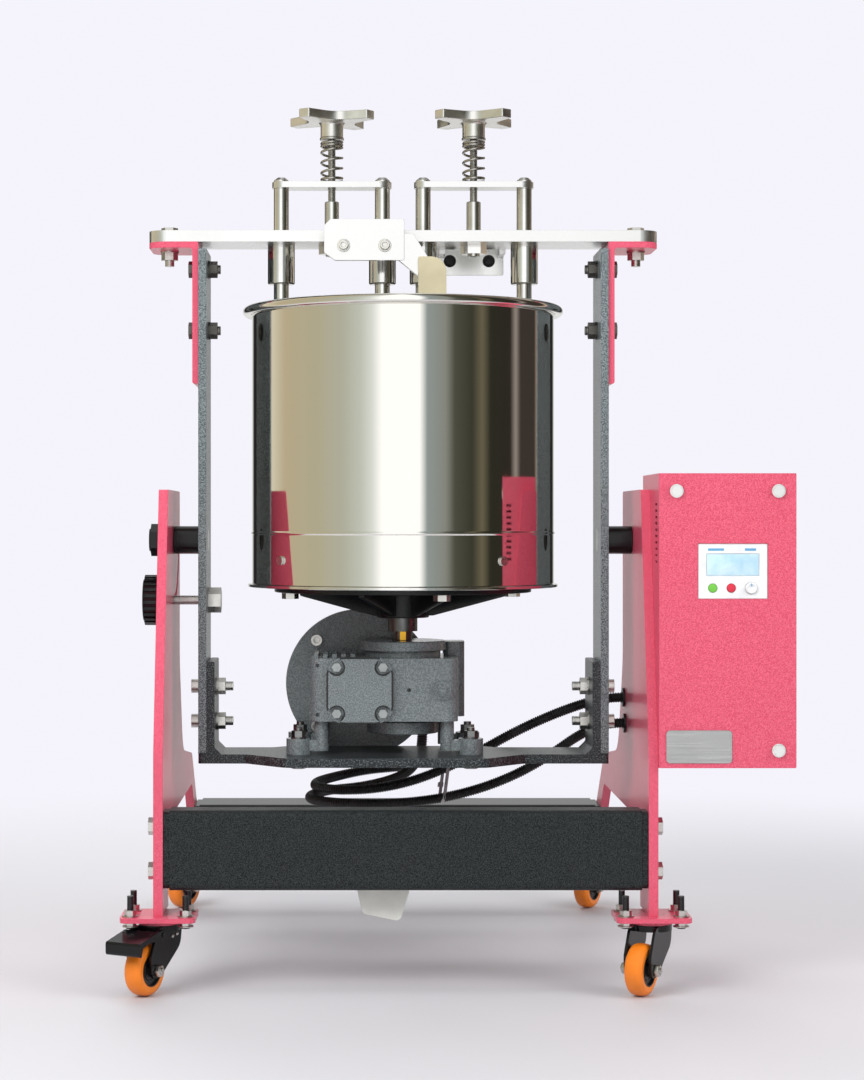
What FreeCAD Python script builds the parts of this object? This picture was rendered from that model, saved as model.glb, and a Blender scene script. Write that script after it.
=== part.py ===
import FreeCAD, Part
import os
from math import atan2, cos, pi, radians, sin, sqrt, tan

V = FreeCAD.Vector

# Tilting two-roller chocolate melanger, in millimetres.
# X runs across the machine, Y from the front to the rear, Z up from the floor.
# The drum axis and the trunnion axis cross at X = 0, Y = 0 while it is modelled.
# The finished parts are moved so that the footprint's centre is the origin.

# Clearances
running_clearance = 0.05
gap = 0.4
bolt_clearance = 0.3

# Side plates and what joins them
plate_gap = 606.0
plate_thickness = 12.0
plate_top = 631.0
plate_front_top = -104.0
plate_rear_top = 100.0
plate_front = -189.0
plate_front_knee = 300.0
rear_edge_knee = 400.0
rear_knee_radius = 90.0
front_knee_radius = 40.0
sweep_reach = 60.0
sweep_rise = 22.0
sweep_radius = 60.0
shoulder_y = 345.0
shoulder_z = 250.0
hip_y = 445.0
hip_z = 172.0
hip_radius = 40.0
shoulder_radius = 36.0
rear_foot_start = 470.0
rear_foot_end = 548.0
front_foot_end = -100.0
arch_top = 205.0
arch_rear = 374.0
beam_height = 100.0
beam_depth = 50.0
beam_wall = 4.0
beam_corner = 8.0
beam_end_thickness = 8.0
front_beam_bottom = 129.0
rear_beam_bottom = 118.0
rear_beam_front = 386.0
beam_bolt_diameter = 12.0
beam_bolt_spacing = 56.0
rear_bolt_spacing = 34.0

# Feet and casters
foot_length = 94.0
foot_depth = 80.0
foot_thickness = 6.0
foot_corner = 10.0
foot_bolt_x = 69.0
foot_bolt_y = 45.0
foot_bolt_diameter = 8.0
foot_bolt_tail = 26.0
front_foot_y = -165.0
rear_foot_y = 515.0
caster_height = 91.0
wheel_diameter = 65.0
wheel_width = 24.0
wheel_crown = 3.0
tread_half = 4.0
core_diameter = 42.0
hub_diameter = 20.0
hub_width = 28.0
axle_diameter = 8.0
caster_trail = 33.0
caster_heading = 241.0
cheek_thickness = 3.5
cheek_gap = 30.0
race_diameter = 56.0
race_thickness = 5.0
kingpin_diameter = 12.0
fork_crown_thickness = 8.0
pedal_width = 50.0
pedal_length = 44.0
pedal_thickness = 5.0
pedal_pin_diameter = 6.0
pedal_pin_reach = 24.0
pedal_pin_drop = 15.0
pedal_ear = 3.0

# Tilting yoke
trunnion_height = 565.5
trunnion_diameter = 30.0
trunnion_collar = 37.0
bush_outer = 40.0
bush_flange = 50.0
bush_flange_thickness = 3.0
arm_outer = 268.0
arm_thickness = 10.5
arm_depth = 100.0
arm_top = 947.0
yoke_floor = 274.0
yoke_floor_thickness = 12.0
upstand_height = 121.0
upstand_thickness = 10.8
upstand_fillet = 9.0
table_left = -153.0
table_right = 106.0
table_flare = 52.0
table_front = -105.0
table_rear = 70.0
arm_bolt_diameter = 12.0
arm_bolt_low = 326.0
arm_bolt_high = 372.0
arm_bolt_tail = 22.0
lock_radius = 79.5
lock_diameter = 12.0
lock_slot_clearance = 1.0
lock_nut_width = 29.0
lock_nut_thickness = 17.0
knob_diameter = 68.0
knob_thickness = 28.0
knob_lobes = 8
knob_face = 8.0
bracket_thickness = 8.0
bracket_low = 770.0
bracket_bolt_low = 843.0
bracket_bolt_high = 924.0
bracket_bolt_diameter = 12.0
bar_half_length = 334.0
bar_bottom = 956.0
bar_thickness = 15.0
bar_depth = 90.0
bar_end_bolt_inset = 25.0
bar_end_radius = 24.0

# Drum and stones
drum_radius = 200.0
drum_wall = 1.5
drum_bottom = 508.0
drum_top = 867.0
rim_wire = 12.0
floor_disc_radius = 205.0
floor_disc_thickness = 4.0
carrier_disc_radius = 170.0
carrier_disc_thickness = 7.0
drum_hub_radius = 35.0
drum_hub_height = 34.0
rib_count = 8
rib_reach = 145.0
rib_thickness = 8.0
granite_height = 67.0
granite_clearance = 1.0
granite_bevel = 4.0
drum_screw_height = 540.0
drum_screw_head = 12.0
drum_screw_count = 4
drum_screw_start = 38.0
carrier_bolt_circle = 310.0
carrier_bolt_count = 4
carrier_bolt_diameter = 12.0
shaft_diameter = 25.0
sleeve_diameter = 39.0
sleeve_height = 18.0
center_nut_width = 24.0
center_nut_height = 16.0

# Roller heads
head_offset = 94.0
roller_radius = 80.0
roller_width = 95.0
roller_bevel = 5.0
roller_bush_radius = 16.0
roller_seat_gap = 0.3
post_diameter = 20.0
post_offset = 67.0
post_foot_width = 24.0
post_foot_height = 40.0
head_axle_diameter = 20.0
bridge_bottom = 1031.0
bridge_thickness = 8.0
bridge_length = 158.0
bridge_depth = 36.0
post_cap_diameter = 20.0
post_cap_height = 7.0
guide_outer = 36.0
guide_drop = 52.0
guide_neck = 30.0
guide_ring = 42.0
guide_ring_thickness = 2.5
boss_outer = 19.0
boss_top = 1014.0
boss_spigot = 16.0
boss_nut_width = 30.0
boss_nut_thickness = 12.0
screw_diameter = 10.0
spring_outer = 31.0
spring_wire = 4.0
spring_turns = 3.5
spring_length = 56.0
thrust_washer_thickness = 3.0
thrust_washer_outer = 32.0
wheel_hub_diameter = 30.0
wheel_hub_height = 20.0
star_radius = 56.0
star_lobes = 5
star_height = 20.0
star_thickness = 11.5
star_dish_radius = 200.0
star_waist = 0.6
star_lobe_share = 0.17

# Scraper
scraper_left = -103.0
scraper_right = 0.0
scraper_low = 926.0
scraper_high = 979.0
scraper_front = -96.0
scraper_plate = 8.0
rear_scraper_left = 46.0
rear_scraper_right = 139.0
scraper_screw_spacing = 53.0
blade_left = 18.0
blade_right = 54.0
blade_top = 930.0
blade_thickness = 9.0
blade_paddle_top = 700.0
blade_floor_gap = 1.0
blade_wall_gap = 2.0
blade_front = -104.0

# Gearbox and motor
gear_left = -121.0
gear_right = 71.0
gear_bottom = 330.0
gear_top = 412.0
gear_half_depth = 66.0
gear_wheel_radius = 64.0
worm_x = -57.0
worm_z = 371.0
worm_tunnel_radius = 41.0
worm_tunnel_front = -68.0
worm_cover_front = -79.0
worm_cover_size = 86.0
cover_bolt_spacing = 60.0
ring_top = 433.0
ring_thickness = 13.0
ring_radius = 57.0
lower_ring_radius = 47.5
lower_ring_bottom = 311.0
lower_ring_thickness = 16.0
rear_lug_reach = 12.0
rear_lug_front = 20.0
rear_lug_top = 430.0
top_rib_count = 5
top_rib_height = 5.0
top_rib_width = 6.0
plug_inset = 21.0
foot_boss_radius = 16.0
foot_boss_height = 21.0
left_boss_x = -137.0
right_boss_x = 88.0
boss_y = 48.0
gear_bolt_diameter = 10.0
motor_flange_radius = 100.0
motor_flange_thickness = 12.0
motor_flange_front = 75.0
motor_bolt_circle = 165.0
motor_radius = 70.0
motor_fin_radius = 78.0
motor_fin_count = 24
motor_length = 160.0
cowl_radius = 79.0
cowl_length = 68.0
cowl_wall = 2.0
terminal_stand_off = 2.0
terminal_width = 30.0
terminal_length = 84.0
terminal_height = 84.0

# Control box
box_right = 486.0
box_bottom = 283.0
box_top = 650.0
box_front = -195.0
box_bush_clearance = 5.0
box_wall = 2.0
box_screw_inset = 22.0
cover_thickness = 2.0
cover_lip = 18.0
keypad_left = 364.0
keypad_width = 86.0
keypad_bottom = 494.0
keypad_height = 68.0
keypad_depth = 30.0
keypad_clearance = 0.5
button_diameter = 11.0
button_height = 3.0
button_travel = 1.2
dial_diameter = 15.0
dial_height = 6.0
vent_count = 10
vent_pitch = 8.0
vent_width = 22.0
vent_height = 3.0
nameplate_width = 82.0
nameplate_height = 41.0
nameplate_thickness = 1.0
nameplate_left = 324.0
nameplate_bottom = 289.0
gland_bore = 10.0
gland_outer = 22.0
gland_length = 26.0
mains_gland_x = 430.0
mains_gland_z = 330.0

# Flexible conduits between the control box and the drive
conduit_diameter = 14.0
conduit_gland_width = 22.0
conduit_gland_length = 14.0
conduit_gland_x = 358.0
low_conduit_y = 69.0
low_conduit_z = 317.0
high_conduit_y = 81.5
high_conduit_z = 351.0

# Loose tongue behind the front beam
tongue_top_width = 70.0
tongue_foot_width = 42.0
tongue_drop = 46.0
tongue_thickness = 3.0

# Values that follow from the ones above
plate_inner = plate_gap / 2
plate_outer = plate_inner + plate_thickness
foot_top = caster_height + foot_thickness
arm_inner = arm_outer - arm_thickness
yoke_floor_top = yoke_floor + yoke_floor_thickness
bar_top = bar_bottom + bar_thickness
floor_disc_bottom = drum_bottom - floor_disc_thickness
carrier_bottom = floor_disc_bottom - carrier_disc_thickness
hub_bottom = carrier_bottom - drum_hub_height
granite_top = drum_bottom + granite_height
axle_height = granite_top + roller_seat_gap + roller_radius
bridge_top = bridge_bottom + bridge_thickness
spring_top = bridge_top + spring_length
wheel_hub_bottom = spring_top + thrust_washer_thickness
star_bottom = wheel_hub_bottom + wheel_hub_height
lock_height = trunnion_height - lock_radius
bar_end_bolt_x = bar_half_length - bar_end_bolt_inset
box_back = -(bush_flange / 2 + box_bush_clearance)
box_left = plate_outer


def space_yz(x):
    """Places a flat outline's (u, v) at (x, u, v)."""
    return lambda u, v: V(x, u, v)


def space_xz(y):
    return lambda u, v: V(u, y, v)


def space_xy(z):
    return lambda u, v: V(u, v, z)


def box(x_low, x_high, y_low, y_high, z_low, z_high):
    size = (x_high - x_low, y_high - y_low, z_high - z_low)
    return Part.makeBox(*size, V(x_low, y_low, z_low))


def rod(radius, start, end):
    """A solid cylinder between two points."""
    along = end - start
    return Part.makeCylinder(radius, along.Length, start, along)


def sleeve(outer, inner, start, end):
    """A tube between two points."""
    return rod(outer, start, end).cut(rod(inner, start, end))


def join(shapes):
    """One solid from shapes that touch or overlap."""
    solid = shapes[0].fuse(list(shapes[1:])) if len(shapes) > 1 else shapes[0]
    return solid.removeSplitter()


def group(shapes):
    """Separate solids that share one node."""
    solids = [solid for shape in shapes for solid in shape.Solids]
    return Part.makeCompound(solids)


def rounded_face(corners, place):
    """A flat face from (u, v, corner radius) rows, put in space by place."""
    edges = []
    ends = []
    count = len(corners)
    for index, (u, v, radius) in enumerate(corners):
        here = V(u, v, 0)
        back = V(*corners[index - 1][:2], 0) - here
        ahead = V(*corners[(index + 1) % count][:2], 0) - here
        back.normalize()
        ahead.normalize()
        half = back.getAngle(ahead) / 2
        if radius == 0:
            ends.append((here, None, here))
            continue
        setback = radius / tan(half)
        bisector = back + ahead
        bisector.normalize()
        middle = here + bisector * (radius / sin(half) - radius)
        ends.append((here + back * setback, middle, here + ahead * setback))
    for index, (start, middle, end) in enumerate(ends):
        if middle is not None:
            points = [place(p.x, p.y) for p in (start, middle, end)]
            edges.append(Part.Arc(*points).toShape())
        following = ends[(index + 1) % count][0]
        if (following - end).Length > 0.001:
            edges.append(Part.makeLine(place(end.x, end.y), place(following.x, following.y)))
    return Part.Face(Part.Wire(edges))


def prism(corners, place, along):
    return rounded_face(corners, place).extrude(along)


def rectangle(low_u, high_u, low_v, high_v, radius):
    """Corner rows of a rounded rectangle for rounded_face."""
    return [
        (low_u, low_v, radius),
        (high_u, low_v, radius),
        (high_u, high_v, radius),
        (low_u, high_v, radius),
    ]


def spun(profile, base, axis_turn=None):
    """Turns (radius, height, corner radius) rows about +Z at base, then turns it on."""
    face = rounded_face(profile, space_xz(0))
    solid = face.revolve(V(0, 0, 0), V(0, 0, 1), 360)
    if axis_turn is not None:
        solid.rotate(V(0, 0, 0), axis_turn[0], axis_turn[1])
    solid.translate(base)
    return solid


def hexagon(across_flats, start, along):
    """A hexagonal prism for nuts and bolt heads."""
    corner = across_flats / sqrt(3)
    points = [V(corner * cos(pi / 3 * n), corner * sin(pi / 3 * n), 0) for n in range(7)]
    prism_z = Part.Face(Part.makePolygon(points)).extrude(V(0, 0, along.Length))
    prism_z.Placement = FreeCAD.Placement(start, FreeCAD.Rotation(V(0, 0, 1), along))
    return prism_z


def socket_head(diameter, start, along):
    """A cap screw's head with its hexagon socket, standing on start."""
    way = V(along).normalize()
    head = rod(diameter * 0.75, start, start + way * diameter)
    socket = hexagon(diameter * 0.8, start + way * diameter * 0.45, way * diameter)
    return head.cut(socket)


def fastener(diameter, seat, way, grip, tail, head="hex", nut=True):
    """A bolt from its head's seat through the grip, with its washer and nut."""
    way = V(way).normalize()
    if head == "socket":
        top = socket_head(diameter, seat, way * -1)
    else:
        top = hexagon(diameter * 1.6, seat, way * (-0.65 * diameter))
    solids = [top, rod(diameter / 2, seat, seat + way * (grip + tail))]
    if nut:
        face = seat + way * grip
        solids.append(rod(diameter, face, face + way * diameter * 0.2))
        solids.append(hexagon(diameter * 1.6, face + way * diameter * 0.2, way * diameter * 0.8))
    return join(solids)


def side_plate(side):
    """The frame's side plate, with its arch and trunnion hole; side is -1 or 1."""
    corners = [
        (plate_front, foot_top, 0),
        (front_foot_end, foot_top, 0),
        (front_foot_end + 6, arch_top, 22),
        (arch_rear - 30, arch_top, 26),
        (arch_rear + 6, arch_top - 30, 16),
        (rear_foot_start, foot_top, 0),
        (rear_foot_end, foot_top, 0),
        (rear_foot_end, foot_top + 16, 10),
        (hip_y, hip_z, hip_radius),
        (shoulder_y, shoulder_z, shoulder_radius),
        (plate_rear_top + sweep_reach, shoulder_z + sweep_rise, sweep_radius),
        (plate_rear_top, rear_edge_knee, rear_knee_radius),
        (plate_rear_top, plate_top, 6),
        (plate_front_top, plate_top, 6),
        (plate_front, plate_front_knee, front_knee_radius),
    ]
    start = plate_inner if side > 0 else -plate_outer
    plate = prism(corners, space_yz(start), V(plate_thickness, 0, 0))
    left = V(start - 1, 0, trunnion_height)
    holes = [rod(bush_outer / 2, left, left + V(plate_thickness + 2, 0, 0))]
    holes += [rod(beam_bolt_diameter / 2 + bolt_clearance, seat, seat + V(side * 60, 0, 0))
              for seat in beam_bolt_points(side)]
    if side < 0:
        holes.append(lock_slot())
    else:
        for y, z in ((low_conduit_y, low_conduit_z), (high_conduit_y, high_conduit_z)):
            middle = V(start - 1, y, z)
            holes.append(rod(conduit_diameter / 2 + 3, middle, middle + V(plate_thickness + 2, 0, 0)))
    return plate.cut(holes)


def lock_slot():
    """The quarter-circle slot that the lock stud travels in, about the trunnion."""
    centre = V(-plate_outer - 1, 0, trunnion_height)
    along = V(plate_thickness + 2, 0, 0)
    half_width = lock_diameter / 2 + lock_slot_clearance
    outer = rod(lock_radius + half_width, centre, centre + along)
    band = outer.cut(rod(lock_radius - half_width, centre, centre + along))
    reach = lock_radius * 2
    quarter = box(centre.x, centre.x + along.x, 0, reach, trunnion_height - reach, trunnion_height)
    lower = centre + V(0, 0, -lock_radius)
    rear = centre + V(0, lock_radius, 0)
    ends = [rod(half_width, point, point + along) for point in (lower, rear)]
    return join([band.common(quarter)] + ends)


def beam_bolt_points(side):
    """The bolt axes of both beams at one side plate, on the beam ends' inner faces."""
    x = side * (plate_inner - beam_end_thickness)
    front_y = plate_front + beam_depth / 2
    front_z = front_beam_bottom + beam_height / 2
    rear_y = rear_beam_front + beam_height / 2
    rear_z = rear_beam_bottom + beam_depth / 2
    half = beam_bolt_spacing / 2
    rear_half = rear_bolt_spacing / 2
    return [
        V(x, front_y, front_z - half),
        V(x, front_y, front_z + half),
        V(x, rear_y - rear_half, rear_z + rear_half * 0.3),
        V(x, rear_y + rear_half, rear_z - rear_half * 0.3),
    ]


def beam(y_low, y_high, z_low, z_high, bolts):
    """A rectangular tube with a bolted end plate at each side plate."""
    half = plate_inner - beam_end_thickness
    outer = rectangle(y_low, y_high, z_low, z_high, beam_corner)
    inner = rectangle(y_low + beam_wall, y_high - beam_wall, z_low + beam_wall,
                      z_high - beam_wall, beam_corner - beam_wall)
    tube = prism(outer, space_yz(-half), V(half * 2, 0, 0))
    tube = tube.cut(prism(inner, space_yz(-half), V(half * 2, 0, 0)))
    ends = []
    for start in (-plate_inner, half):
        inset = beam_wall / 2
        edge = rectangle(y_low + inset, y_high - inset, z_low + inset, z_high - inset, beam_corner)
        ends.append(prism(edge, space_yz(start), V(beam_end_thickness, 0, 0)))
    holes = []
    for point in bolts:
        way = V(1 if point.x > 0 else -1, 0, 0)
        hole = rod(beam_bolt_diameter / 2 + bolt_clearance, point - way, point + way * 60)
        holes.append(hole)
    return join([tube] + ends).cut(holes)


def frame_bolts():
    """Beam bolts through the side plates and the casters' bolts through the feet."""
    bolts = []
    for side in (-1, 1):
        for point in beam_bolt_points(side):
            seat = V(side * plate_outer, point.y, point.z)
            grip = plate_thickness + beam_end_thickness
            bolts.append(fastener(beam_bolt_diameter, seat, V(-side, 0, 0), grip, 14))
        for foot_y in (front_foot_y, rear_foot_y):
            for dx in (-foot_bolt_x / 2, foot_bolt_x / 2):
                for dy in (-foot_bolt_y / 2, foot_bolt_y / 2):
                    seat = V(foot_x(side) + dx, foot_y + dy, caster_height)
                    bolts.append(fastener(foot_bolt_diameter, seat, V(0, 0, 1),
                                          foot_thickness, foot_bolt_tail))
    return group(bolts)


def foot_x(side):
    return side * (plate_inner + plate_thickness / 2)


def foot_plates():
    """The pads that the side plates stand on, each with a caster's fixed race below."""
    feet = []
    for side in (-1, 1):
        for foot_y in (front_foot_y, rear_foot_y):
            x = foot_x(side)
            edge = rectangle(x - foot_length / 2, x + foot_length / 2,
                             foot_y - foot_depth / 2, foot_y + foot_depth / 2, foot_corner)
            pad = prism(edge, space_xy(caster_height), V(0, 0, foot_thickness))
            holes = []
            for dx in (-foot_bolt_x / 2, foot_bolt_x / 2):
                for dy in (-foot_bolt_y / 2, foot_bolt_y / 2):
                    low = V(x + dx, foot_y + dy, caster_height - 1)
                    hole = rod(foot_bolt_diameter / 2 + bolt_clearance, low,
                               low + V(0, 0, foot_thickness + 2))
                    holes.append(hole)
            centre = V(x, foot_y, caster_height)
            race = sleeve(race_diameter / 2, kingpin_diameter / 2 + running_clearance,
                          centre - V(0, 0, race_thickness), centre)
            feet.append(pad.cut(holes).fuse(race).removeSplitter())
    return group(feet)


def caster_placed(shape, side, foot_y):
    """Turns a caster piece from its own axes to its heading and carries it to its foot."""
    placed = shape.copy()
    placed.rotate(V(0, 0, 0), V(0, 0, 1), caster_heading)
    placed.translate(V(foot_x(side), foot_y, 0))
    return placed


def caster_fork(braked):
    """Crown, kingpin, two swept cheeks and the wheel's axle bolt; it trails along +X."""
    axle_z = wheel_diameter / 2
    crown_top = caster_height - race_thickness - gap
    crown_low = crown_top - fork_crown_thickness
    half = cheek_gap / 2 + cheek_thickness
    crown = rod(race_diameter / 2 - 2, V(0, 0, crown_low), V(0, 0, crown_top))
    pin = rod(kingpin_diameter / 2, V(0, 0, crown_top), V(0, 0, caster_height - 1))
    profile = [
        (-race_diameter / 2 + 4, crown_top - 1, 6),
        (race_diameter / 2 + 2, crown_top - 1, 12),
        (caster_trail + 13, axle_z + 18, 16),
        (caster_trail + 11, axle_z - 9, 9),
        (caster_trail - 8, axle_z - 9, 8),
        (-race_diameter / 2 + 8, crown_top - 28, 20),
    ]
    solids = [crown, pin]
    for start in (-half, cheek_gap / 2):
        cheek = prism(profile, space_xz(start), V(0, cheek_thickness, 0))
        solids.append(cheek)
    bridge = box(-race_diameter / 2 + 8, race_diameter / 2 - 4, -half, half, crown_low, crown_top - 1)
    solids.append(bridge)
    way = V(0, 1, 0)
    tip = half + 3
    solids.append(rod(axle_diameter / 2, V(caster_trail, -tip, axle_z), V(caster_trail, tip, axle_z)))
    for sign in (-1, 1):
        face = V(caster_trail, sign * half, axle_z)
        solids.append(hexagon(axle_diameter * 1.6, face, way * sign * 6))
    if braked:
        reach = half + gap + pedal_ear + 1
        pin_z = caster_height - pedal_pin_drop
        solids.append(rod(pedal_pin_diameter / 2, V(pedal_pin_reach, -reach, pin_z),
                          V(pedal_pin_reach, reach, pin_z)))
    return join(solids)


def caster_wheel():
    """A crowned tyre on its core, each a solid of revolution about the axle."""
    radius = wheel_diameter / 2
    half = wheel_width / 2
    bore = axle_diameter / 2 + running_clearance
    base = V(caster_trail, 0, radius)
    turn = (V(1, 0, 0), 90)
    tyre = spun([
        (core_diameter / 2, -half, 0),
        (radius - wheel_crown, -half, 4),
        (radius, -tread_half, 10),
        (radius, tread_half, 10),
        (radius - wheel_crown, half, 4),
        (core_diameter / 2, half, 0),
    ], base, turn)
    hub = hub_diameter / 2
    web = half - 4
    core = spun([
        (bore, -hub_width / 2, 0),
        (hub, -hub_width / 2, 0),
        (hub, -web, 0),
        (core_diameter / 2 - 4, -web, 0),
        (core_diameter / 2 - 3, -half, 0),
        (core_diameter / 2, -half, 0),
        (core_diameter / 2, half, 0),
        (core_diameter / 2 - 3, half, 0),
        (core_diameter / 2 - 4, web, 0),
        (hub, web, 0),
        (hub, hub_width / 2, 0),
        (bore, hub_width / 2, 0),
    ], base, turn)
    return group([tyre, core])


def brake_pedal():
    """The pedal over the wheel, with ears on the fork's cross pin."""
    pin_z = caster_height - pedal_pin_drop
    top = pin_z + 6
    start = race_diameter / 2 + 10
    tip = start + pedal_length
    half = pedal_width / 2
    outline = [
        (start, top, 2),
        (tip, top - 10, 3),
        (tip, top - 26, 4),
        (tip - pedal_thickness, top - 26, 1),
        (tip - pedal_thickness - 4, top - 10 - pedal_thickness, 3),
        (start, top - pedal_thickness, 1),
    ]
    solids = [prism(outline, space_xz(-half), V(0, pedal_width, 0))]
    inner = cheek_gap / 2 + cheek_thickness + gap
    ear = [
        (pedal_pin_reach - 6, pin_z - 6, 5),
        (start + 12, pin_z - 6, 2),
        (start + 12, top - 2, 0),
        (pedal_pin_reach - 6, top, 5),
    ]
    for low in (inner, -inner - pedal_ear):
        solids.append(prism(ear, space_xz(low), V(0, pedal_ear, 0)))
    hole_radius = pedal_pin_diameter / 2 + running_clearance
    hole = rod(hole_radius, V(pedal_pin_reach, -half, pin_z), V(pedal_pin_reach, half, pin_z))
    return join(solids).cut(hole)


def trunnion_bushes():
    """Flanged bronze bushes in the side plates."""
    bushes = []
    for side in (-1, 1):
        inner = V(side * plate_inner, 0, trunnion_height)
        outer = V(side * plate_outer, 0, trunnion_height)
        rim = outer + V(side * bush_flange_thickness, 0, 0)
        bore = trunnion_diameter / 2 + running_clearance
        body = sleeve(bush_outer / 2, bore, inner, rim)
        flange = sleeve(bush_flange / 2, bore, outer, rim)
        bushes.append(body.fuse(flange).removeSplitter())
    return group(bushes)


def trunnions():
    """Stub shafts on the yoke's arms: collar, journal and end nut."""
    shafts = []
    for side in (-1, 1):
        way = V(side, 0, 0)
        arm = V(side * arm_inner, 0, trunnion_height)
        face = V(side * arm_outer, 0, trunnion_height)
        collar_end = V(side * (plate_inner - gap), 0, trunnion_height)
        washer_start = V(side * (plate_outer + bush_flange_thickness + gap), 0, trunnion_height)
        nut_start = washer_start + way * 3
        end = nut_start + way * 14
        shafts.append(join([
            rod(trunnion_diameter / 2, arm, end),
            rod(trunnion_collar / 2, face, collar_end),
            rod(trunnion_collar / 2 + 2, washer_start, nut_start),
            hexagon(trunnion_collar, nut_start, way * 12),
        ]))
    return group(shafts)


def yoke_arms():
    """The two flat arms with their trunnion, lock and bolt holes."""
    arms = []
    for side in (-1, 1):
        start = arm_inner if side > 0 else -arm_outer
        edge = rectangle(-arm_depth / 2, arm_depth / 2, yoke_floor_top, arm_top, 3)
        arm = prism(edge, space_yz(start), V(arm_thickness, 0, 0))
        holes = []
        sizes = [(trunnion_height, trunnion_diameter / 2, 0)]
        sizes += [(z, arm_bolt_diameter / 2 + bolt_clearance, y) for z, y in arm_bolt_places()]
        sizes += [(z, bracket_bolt_diameter / 2 + bolt_clearance, 0)
                  for z in (bracket_bolt_low, bracket_bolt_high)]
        if side < 0:
            sizes.append((lock_height, lock_diameter / 2 + bolt_clearance, 0))
        for z, radius, y in sizes:
            low = V(start - 1, y, z)
            holes.append(rod(radius, low, low + V(arm_thickness + 2, 0, 0)))
        arms.append(arm.cut(holes))
    return group(arms)


def arm_bolt_places():
    """(height, Y) of the bolts between arm and upstand."""
    return [(arm_bolt_low, 0), (arm_bolt_high, 0)]


def yoke_base():
    """The bent floor of the yoke: a table for the gearbox and an upstand at each arm."""
    half = arm_depth / 2
    rear_flare = table_rear - half
    table = [
        (-arm_outer, -half, 4),
        (table_left - table_flare, -half, 12),
        (table_left, table_front, 20),
        (table_right, table_front, 20),
        (table_right + table_flare, -half, 12),
        (arm_outer, -half, 4),
        (arm_outer, half, 4),
        (table_right + rear_flare, half, 12),
        (table_right, table_rear, 12),
        (table_left, table_rear, 12),
        (table_left - rear_flare, half, 12),
        (-arm_outer, half, 4),
    ]
    solids = [prism(table, space_xy(yoke_floor), V(0, 0, yoke_floor_thickness))]
    inner = arm_inner - upstand_thickness
    top = yoke_floor_top + upstand_height
    for side in (-1, 1):
        bend = upstand_fillet
        profile = [
            (side * arm_inner, yoke_floor_top, 0),
            (side * arm_inner, top, 2),
            (side * inner, top, 2),
            (side * inner, yoke_floor_top + bend, 4),
            (side * (inner - bend), yoke_floor_top, 0),
        ]
        solids.append(prism(profile, space_xz(-half), V(0, arm_depth, 0)))
    base = join(solids)
    holes = []
    for side in (-1, 1):
        for z, y in arm_bolt_places():
            low = V(side * (inner - bend - 2), y, z)
            holes.append(rod(arm_bolt_diameter / 2 + bolt_clearance, low,
                             V(side * (arm_inner + 1), y, z)))
    for x, y in gear_bolt_places():
        low = V(x, y, yoke_floor - 1)
        holes.append(rod(gear_bolt_diameter / 2 + bolt_clearance, low,
                         V(x, y, yoke_floor_top + 1)))
    return base.cut(holes)


def gear_bolt_places():
    return [(x, y) for x in (left_boss_x, right_boss_x) for y in (-boss_y, boss_y)]


def yoke_bolts():
    """Arm, bracket and bar bolts, and the tilt lock's stud with its nut."""
    bolts = []
    for side in (-1, 1):
        inward = V(-side, 0, 0)
        for z, y in arm_bolt_places():
            seat = V(side * arm_outer, y, z)
            grip = arm_thickness + upstand_thickness
            bolts.append(fastener(arm_bolt_diameter, seat, inward, grip, arm_bolt_tail, "socket"))
        for z in (bracket_bolt_low, bracket_bolt_high):
            seat = V(side * (arm_outer + bracket_thickness), 0, z)
            grip = arm_thickness + bracket_thickness
            bolts.append(fastener(bracket_bolt_diameter, seat, inward, grip, 16))
        top = V(side * bar_end_bolt_x, 0, bar_top)
        bolts.append(fastener(bracket_bolt_diameter, top, V(0, 0, -1),
                              bar_thickness + bracket_thickness, 20))
    bolts.append(lock_stud())
    return group(bolts)


def lock_stud():
    """The stud that clamps the yoke to the left side plate, with its inner nut."""
    inner = V(-arm_inner, 0, lock_height)
    tip = V(-plate_outer - knob_thickness + knob_face, 0, lock_height)
    return join([
        hexagon(lock_nut_width, inner, V(lock_nut_thickness, 0, 0)),
        rod(lock_diameter / 2, inner, tip),
    ])


def lock_knob():
    """The lobed clamping knob outside the left side plate."""
    start = V(-plate_outer - gap, 0, lock_height)
    end = start - V(knob_thickness, 0, 0)
    core = rod(knob_diameter * 0.4, start, end)
    lobes = []
    for number in range(knob_lobes):
        turn = 2 * pi * number / knob_lobes
        offset = V(0, cos(turn), sin(turn)) * (knob_diameter * 0.39)
        lobes.append(rod(knob_diameter * 0.11, start + offset, end + offset))
    bore = rod(lock_diameter / 2 + running_clearance, start + V(1, 0, 0), end + V(knob_face - 1, 0, 0))
    return join([core] + lobes).cut(bore)


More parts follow.
